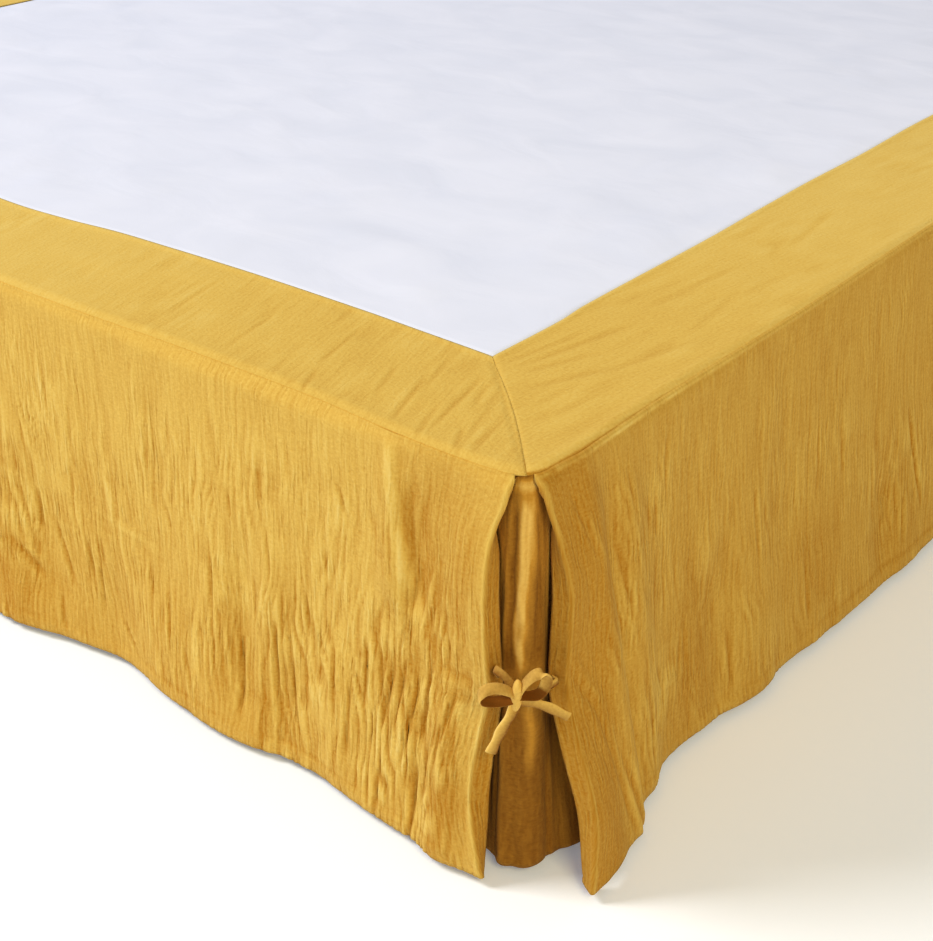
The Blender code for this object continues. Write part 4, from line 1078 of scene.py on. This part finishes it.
# tape routes seen from in front of the corner: across, out to the front, depth below the seam
bowRoutes = fromMillimetres(
    (0, 1, 2),
    loopA=(
        (-7.5, 9.5, 169), (-3, 12, 158.5), (3, 14, 150), (9.2, 15, 147.8), (12.8, 15, 152.5),
        (11.8, 14.5, 160), (8, 13.5, 166.8), (2, 11.5, 170.2), (-7, 9.5, 171.2),
    ),
    loopB=(
        (-8.5, 9.5, 169), (-15, 12.5, 163), (-23.5, 14, 159), (-31.5, 15, 159.2), (-36.2, 15.2, 163.8),
        (-34.5, 14.5, 168.8), (-27, 13, 171.8), (-18, 11.5, 172.5), (-9, 9.5, 172.2),
    ),
    tailB=(
        (-8.5, 9.5, 176), (-12.5, 12.5, 185), (-17.5, 12.5, 195), (-22.5, 12, 207), (-27.2, 11, 220.5),
    ),
    tailA=(
        (-7.5, 9, 175), (3, 9.5, 177.5), (12, 10.5, 180.5), (21.3, 12, 185), (30.5, 14, 190),
    ),
    rootB=(
        (-9, 9, 166), (-13.5, 8.5, 158.5), (-18.5, 7, 152.5), (-23, 3, 150.5), (-22.5, -2.5, 155),
        (-20.5, -6.3, 160), (-19, -7.8, 163),
    ),
    rootA=(
        (-7, 8.5, 174), (3, 5, 174), (12, 1.5, 173), (19, -1, 171), (23.2, -3.4, 170), (23.8, -5.4, 169.7),
        (21.3, -8.1, 169.5),
    ),
)
# which way a loop's tape lies across its width, from the knot round the loop and back
loopWidths = {
    "loopA": ((0.0, 0.90, 0.45), (0.1, 0.80, 0.55), (1.0, 0.35, 0.0), (0.6, 0.80, 0.20), (0.0, 0.95, 0.30)),
    "loopB": ((0.0, 0.80, 0.60), (0.0, 0.80, 0.60), (0.0, 0.80, 0.60)),
}
# the side of a loop's tape that faces into the loop
loopInside = {"loopA": -1.0, "loopB": 1.0}


def cornerPlace(side, place):
    across, out, depth = place[..., 0], place[..., 1], place[..., 2]
    x = hangX + (across + out) / math.sqrt(2.0)
    if side == "left":
        x = -x
    return np.stack([x, footY + (across - out) / math.sqrt(2.0), seamHeight - depth], -1)


def alongRoute(rows, share):
    stops = np.linspace(0, 1, len(rows))
    rows = [(stop, *row) for stop, row in zip(stops, rows)]
    return np.stack([curveAt(rows, axis, share) for axis in (1, 2, 3)], -1)


def tapeRings(name, rings):
    # centre line and breadth of a tape, its flat turned to the front or lying as the loop's table says
    share = np.linspace(0, 1, rings)
    line = alongRoute(bowRoutes[name], share)
    ahead = np.gradient(line, axis=0)
    ahead /= np.linalg.norm(ahead, axis=1, keepdims=True)
    breadths = []
    for number, direction in enumerate(ahead):
        if name in loopWidths:
            breadth = alongRoute(loopWidths[name], share[number])
        elif number == 0:
            breadth = np.cross(direction, (0.0, 1.0, 0.0))
        breadth = breadth - direction * breadth.dot(direction)
        breadth = breadth / np.linalg.norm(breadth)
        breadths.append(breadth)
    return line, np.array(breadths), ahead


def insideShade(name, share):
    # how deep in shade the inside of a loop lies; the end of the right-hand one opens to the light
    if name == "loopA":
        return float(1.0 - 0.9 * smooth((share - 0.30) / 0.10) * smooth((0.72 - share) / 0.10))
    return 1.0


def buildTape(builder, threads, shadePaint, side, name, seed):
    line, breadth, ahead = tapeRings(name, bowLook["rings"])
    count = bowLook["sides"]
    turn = np.linspace(0, 2 * math.pi, count, endpoint=False)
    thick = bowLook["thickness"] / 2
    lift = np.cross(breadth, ahead)
    length = distances(line, 0)
    # one folded edge catches the light, the other is turned from it
    edgeLight = 0.85 * breadth.dot((-0.50, 0.45, -0.74))
    rings = []
    for number, past in enumerate(length):
        closing = {"root": 0.72, "tail": 0.94 + 0.10 * math.sin(past * 300), "loop": 1.0}[name[:4]]
        wide = bowLook["width"] / 2 * closing * np.sign(np.cos(turn)) * np.abs(np.cos(turn)) ** 0.8
        # folded edges are fuller than the middle of a tape
        full = thick * np.sin(turn) * (0.75 + 0.45 * np.abs(np.cos(turn)))
        ripple = 0.00016 * grain(wide / 0.002, past / 0.005 + wide * 0, seed)
        cup = 0.0007 * (np.cos(turn) ** 2 - 0.5) * loopInside.get(name, -1.0)
        points = line[number] + np.outer(wide, breadth[number]) + np.outer(full + ripple + cup, lift[number])
        ring = []
        for point, across, angle in zip(cornerPlace(side, points), wide, turn):
            vertex = builder.verts.new(point)
            ring.append(vertex)
            threads[vertex] = (float(across), float(past))
            # loops are in shade inside, roots behind the bow
            inside = max(math.sin(angle) * loopInside.get(name, 0.0), 0.0) ** 0.5
            tone = -0.30 - 0.9 * inside * insideShade(name, number / len(line))
            tone -= 0.30 * name.startswith("root")
            vertex[shadePaint] = tone + math.cos(angle) * edgeLight[number]
        rings.append(ring)
    for first, second in zip(rings, rings[1:]):
        for k in range(count):
            builder.faces.new((first[k], first[(k + 1) % count], second[(k + 1) % count], second[k]))
    builder.faces.new(rings[0][::-1])
    builder.faces.new(rings[-1])


def buildKnot(name, side):
    # one turn of tape drawn tight over the others: a full oval, creased along its edges
    bpy.ops.object.select_all(action="DESELECT")
    bpy.ops.mesh.primitive_uv_sphere_add(segments=40, ring_count=28, radius=1.0)
    knot = bpy.context.object
    knot.name = name
    mesh = knot.data
    mesh.name = name
    raw = np.empty(len(mesh.vertices) * 3, np.float32)
    mesh.vertices.foreach_get("co", raw)
    x, y, z = raw.reshape(-1, 3).astype(float).T
    crease = 0.10 * grain(x / 0.22, z / 0.9 + x, 301)
    squeeze = 1.0 - 0.16 * bell(z, 0.0, 0.28) + crease
    across = x * knotLook["across"] * squeeze + 0.0010 * z
    local = np.stack([across, y * -knotLook["out"] * squeeze, z * -knotLook["down"] * 0.92], -1)
    world = cornerPlace(side, local + np.array(knotLook["place"]))
    # a ball's faces come in another order each time, so the knot is remade from them in sorted order
    faces = sorted(tuple(face.vertices) for face in mesh.polygons)
    mesh.clear_geometry()
    mesh.from_pydata(world.tolist(), [], faces)
    bpy.ops.object.mode_set(mode="EDIT")
    bpy.ops.mesh.select_all(action="SELECT")
    bpy.ops.mesh.normals_make_consistent(inside=False)
    bpy.ops.object.mode_set(mode="OBJECT")
    bpy.ops.object.shade_smooth()
    setThreads(mesh, mesh.uv_layers.new(name="threads"), local[:, ::2])
    mesh.materials.append(tapeGauze)
    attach(knot, "root")
    return knot


def buildBow(side):
    name = "bow" + side.capitalize()
    mesh = bpy.data.meshes.new(name)
    builder = bmesh.new()
    shadePaint = builder.verts.layers.float.new("relief")
    threads = {}
    for number, route in enumerate(bowRoutes):
        buildTape(builder, threads, shadePaint, side, route, 200 + number)
    bmesh.ops.recalc_face_normals(builder, faces=builder.faces)
    layer = builder.loops.layers.uv.new("threads")
    for face in builder.faces:
        face.smooth = True
        for corner in face.loops:
            corner[layer].uv = threads[corner.vert]
    builder.to_mesh(mesh)
    builder.free()
    mesh.materials.append(tapeGauze)
    bow = linkObject(name, mesh)
    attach(bow, "root")
    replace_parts(bow, "tie_" + side)
    knot = buildKnot(name + "Knot", side)


for side in ("right", "left"):
    buildBow(side)
print("bows tied")

# plain woven base cover, loosely stretched: matt, thread lines across and down
coverLook = {"warm": "#cfc8bb", "cool": "#bdb6a9", "threadMm": 2.0, "roughness": 0.9}
# pressed wool felt: short matt fibres in two greys
feltLook = {"warm": "#8d8983", "cool": "#6f6c68", "threadMm": 1.0, "roughness": 1.0}
# spun-bond dust cloth: thin, black, with a pressed speckle
dustLook = {"warm": "#3a3a3b", "cool": "#2c2c2e", "threadMm": 1.5, "roughness": 0.8}
# beech, turned and oiled: fine pale grain with short darker flecks, satin
beechLook = {"light": "#d9b27c", "dark": "#b88a55", "ringMm": 7.0, "fleckMm": 1.2, "roughness": 0.42}


def coverMaterial(name, look):
    sockets = {"Roughness": look["roughness"], "Specular IOR Level": 0.2, "Sheen Weight": 0.15}
    material, tree, shader = startMaterial(name, sockets)
    place = addNode(tree, "ShaderNodeTexCoord").outputs["Object"]
    # threads along each axis in turn
    heights = []
    for axis in range(3):
        scale = [1000 / (look["threadMm"] * 6)] * 3
        scale[axis] = 1000 / look["threadMm"]
        heights.append(texture(tree, "Noise", place, scale, {"Detail": 2.0}))
    woven = calculate(tree, "ADD", calculate(tree, "ADD", heights[0], heights[1]), heights[2])
    stops = ((0.4, look["cool"]), (0.6, look["warm"]))
    normal = bump(tree, woven, 0.0005, strength=0.8)
    finishMaterial(tree, shader, calculate(tree, "DIVIDE", woven, 3.0), stops, normal)
    return material


def beechMaterial(name, look):
    material, tree, shader = startMaterial(name, {"Roughness": look["roughness"], "IOR": 1.5})
    place = addNode(tree, "ShaderNodeTexCoord").outputs["Object"]
    ring, fleck = 1000 / look["ringMm"], 1000 / look["fleckMm"]
    rings = texture(tree, "Noise", place, (ring, ring, 9.0), {"Detail": 4.0, "Distortion": 1.2})
    flecks = texture(tree, "Noise", place, (fleck, fleck, 60.0), {"Detail": 2.0})
    tone = calculate(tree, "MULTIPLY_ADD", flecks, 0.35, rings)
    stops = ((0.45, look["light"]), (0.9, look["dark"]))
    finishMaterial(tree, shader, tone, stops, bump(tree, tone, 0.0003, strength=0.3))
    return material


cover = coverMaterial("oatmeal base cloth", coverLook)
felt = coverMaterial("grey wool felt", feltLook)
dustCloth = coverMaterial("black spun-bond dust cloth", dustLook)
beech = beechMaterial("oiled beech", beechLook)
baseLook = {
    "depth": 0.20,
    "edge": 0.012,
    "piping": 0.0022,
    "pipingOut": 0.0008,
    "dustCover": 0.0010,
    "dustIn": 0.05,
}
legLook = {
    "inset": 0.075,
    "top": 0.030,
    "bottom": 0.0225,
    "lift": 0.0020,  # its end stands in the glide
    "sides": 48,
    "edge": 0.0015,
    "glide": 0.014,
    "glideDepth": 0.0030,
    "smoothAngle": math.radians(40.0),
}

baseBottom = baseTop - baseLook["depth"]
baseMiddle = footY + bed["hangOut"] + bed["length"] / 2


def startFlat(add, height, size):
    # a unit cube or plane in the middle of the base, at a height, stretched to its size
    bpy.ops.object.select_all(action="DESELECT")
    add(size=1.0, location=(0.0, baseMiddle, height))
    bpy.context.object.scale = size
    bpy.ops.object.transform_apply(location=False, rotation=False, scale=True)
    return bpy.context.object


def bevel(piece, width, segments, angle=None):
    rounding = piece.modifiers.new("rounding", "BEVEL")
    rounding.width = width
    rounding.segments = segments
    if angle:
        rounding.limit_method = "ANGLE"
        rounding.angle_limit = angle
    bpy.ops.object.modifier_apply(modifier=rounding.name)


def finishBase(name, material):
    piece = bpy.context.object
    piece.name = name
    piece.data.materials.clear()
    piece.data.materials.append(material)
    bpy.ops.object.transform_apply(location=True, rotation=True, scale=True)
    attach(piece, "root")
    return piece


def buildBase():
    # a padded box with soft edges
    size = (bed["width"], bed["length"], baseLook["depth"])
    box = startFlat(bpy.ops.mesh.primitive_cube_add, (baseTop + baseBottom) / 2, size)
    bevel(box, baseLook["edge"], 6)
    bpy.ops.object.shade_smooth_by_angle(angle=math.radians(30.0))
    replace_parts(finishBase("baseCover", cover), "bed_base")


def buildPiping(name, height):
    # sewn cord round the box, an outline thickened and made a mesh
    inside = 2 * (baseLook["piping"] - baseLook["pipingOut"])
    size = (bed["width"] - inside, bed["length"] - inside, 1.0)
    startFlat(bpy.ops.mesh.primitive_plane_add, height, size)
    bpy.ops.object.mode_set(mode="EDIT")
    bpy.ops.mesh.select_all(action="SELECT")
    bpy.ops.mesh.bevel(offset=baseLook["edge"], segments=6, affect="VERTICES")
    bpy.ops.mesh.delete(type="ONLY_FACE")
    bpy.ops.object.mode_set(mode="OBJECT")
    bpy.ops.object.convert(target="CURVE")
    bpy.context.object.data.bevel_depth = baseLook["piping"]
    bpy.context.object.data.bevel_resolution = 4
    bpy.ops.object.convert(target="MESH")
    bpy.ops.object.shade_smooth()
    finishBase(name, cover)


def buildDustCover():
    # spun polypropylene pinned under the box
    thick = baseLook["dustCover"]
    size = (bed["width"] - baseLook["dustIn"], bed["length"] - baseLook["dustIn"], thick)
    sheet = startFlat(bpy.ops.mesh.primitive_cube_add, baseBottom - thick / 2, size)
    bevel(sheet, thick * 0.4, 2)
    finishBase("dustCover", dustCloth)


def buildLeg(place, x, y):
    # turned leg with softened rims, on a felt glide
    top = baseBottom - bed["gap"] - baseLook["dustCover"]
    bpy.ops.object.select_all(action="DESELECT")
    bpy.ops.mesh.primitive_cone_add(
        vertices=legLook["sides"], radius1=legLook["bottom"], radius2=legLook["top"],
        depth=top - legLook["lift"], location=(x, y, (top + legLook["lift"]) / 2),
    )
    bevel(bpy.context.object, legLook["edge"], 3, legLook["smoothAngle"])
    bpy.ops.object.shade_smooth_by_angle(angle=legLook["smoothAngle"])
    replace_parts(finishBase("turnedLeg_" + place, beech), "leg_" + place)
    bpy.ops.object.select_all(action="DESELECT")
    thick = legLook["glideDepth"]
    bpy.ops.mesh.primitive_cylinder_add(
        vertices=32, radius=legLook["glide"], depth=thick, location=(x, y, thick / 2)
    )
    bpy.ops.object.shade_smooth_by_angle(angle=legLook["smoothAngle"])
    finishBase("glide_" + place, felt)


buildBase()
buildPiping("pipingTop", baseTop - baseLook["piping"])
buildPiping("pipingBottom", baseBottom + baseLook["piping"])
buildDustCover()
reachX, reachY = bed["width"] / 2 - legLook["inset"], bed["length"] / 2 - legLook["inset"]
for row, y in (("foot", baseMiddle - reachY), ("middle", baseMiddle), ("head", baseMiddle + reachY)):
    for label, x in (("left", -reachX), ("right", reachX)):
        buildLeg(row + "_" + label, x, y)
print("base dressed")

floorLook = {"colour": "#eceff5", "size": 14.0, "roughness": 0.7, "glow": 0.19, "glowColour": "#eef1fa"}
lightLook = {
    "sky": 0.29,
    "skyColour": "#f7f8fa",
    "target": (0.5, -0.7, 0.2),
}
keyLook = {"toward": (-0.60, -0.40, 0.69), "away": 9.0, "watts": 500.0, "size": 2.8, "tint": (1.0, 0.99, 0.97)}
sideLook = {"toward": (0.66, -0.40, 0.64), "away": 8.0, "watts": 238.0, "size": 3.2, "tint": (1.0, 0.86, 0.44)}
cameraLook = {
    "place": (1.3742, -1.7641, 0.9009),
    "pitch": 28.88,
    "azimuth": 38.62,
    "focalPx": 1600.0,
    "tallPx": 941.0,
    "sensorMm": 36.0,
}


def buildFloor():
    bpy.ops.object.select_all(action="DESELECT")
    bpy.ops.mesh.primitive_plane_add(size=floorLook["size"], location=(0, 0, 0))
    floor = bpy.context.object
    floor.name = "floor"
    # painted floor, rolled on: almost even, with a soft stipple; it glows a little, which lifts its shadows and
    # lights the hems from below
    sockets = {
        "Roughness": floorLook["roughness"],
        "Base Color": hexColour(floorLook["colour"]),
        "Emission Color": hexColour(floorLook["glowColour"]),
        "Emission Strength": floorLook["glow"],
    }
    material, tree, shader = startMaterial("pale painted floor", sockets)
    place = addNode(tree, "ShaderNodeTexCoord").outputs["Object"]
    stipple = addNode(tree, "ShaderNodeTexNoise", {"Scale": 90.0, "Detail": 3.0}, {"Vector": place})
    normal = bump(tree, stipple.outputs["Fac"], 0.0005, strength=0.1)
    tree.links.new(normal, shader.inputs["Normal"])
    floor.data.materials.append(material)


def addLight(name, look):
    data = bpy.data.lights.new(name, "AREA")
    data.energy = look["watts"]
    data.shape = "SQUARE"
    data.size = look["size"]
    data.color = look["tint"]
    light = linkObject(name, data)
    toward = Vector(look["toward"]).normalized()
    light.location = Vector(lightLook["target"]) + toward * look["away"]
    light.rotation_euler = toward.to_track_quat("Z", "Y").to_euler()


def buildSky():
    world = bpy.data.worlds.new("studio")
    world.use_nodes = True
    sky = world.node_tree.nodes["Background"].inputs
    sky["Color"].default_value = hexColour(lightLook["skyColour"])
    sky["Strength"].default_value = lightLook["sky"]
    bpy.context.scene.world = world
    bpy.context.scene.view_settings.view_transform = "Standard"
    bpy.context.scene.view_settings.look = "Medium High Contrast"


def buildCamera():
    pitch = math.radians(cameraLook["pitch"])
    azimuth = math.radians(cameraLook["azimuth"])
    level = Vector((-math.sin(azimuth), math.cos(azimuth), 0.0))
    right = Vector((math.cos(azimuth), math.sin(azimuth), 0.0))
    ahead = level * math.cos(pitch) - Vector((0, 0, math.sin(pitch)))
    up = level * math.sin(pitch) + Vector((0, 0, math.cos(pitch)))
    data = bpy.data.cameras.new("camera")
    camera = linkObject("camera", data)
    matrix = Matrix((right, up, -ahead)).transposed().to_4x4()
    matrix.translation = cameraLook["place"]
    camera.matrix_world = matrix
    data.sensor_fit = "VERTICAL"
    data.sensor_height = cameraLook["sensorMm"]
    data.lens = cameraLook["focalPx"] * cameraLook["sensorMm"] / cameraLook["tallPx"]
    data.clip_start = 0.01
    bpy.context.scene.camera = camera


buildFloor()
addLight("keyLight", keyLook)
addLight("sideLight", sideLook)
buildSky()
buildCamera()
print("stage and camera set")
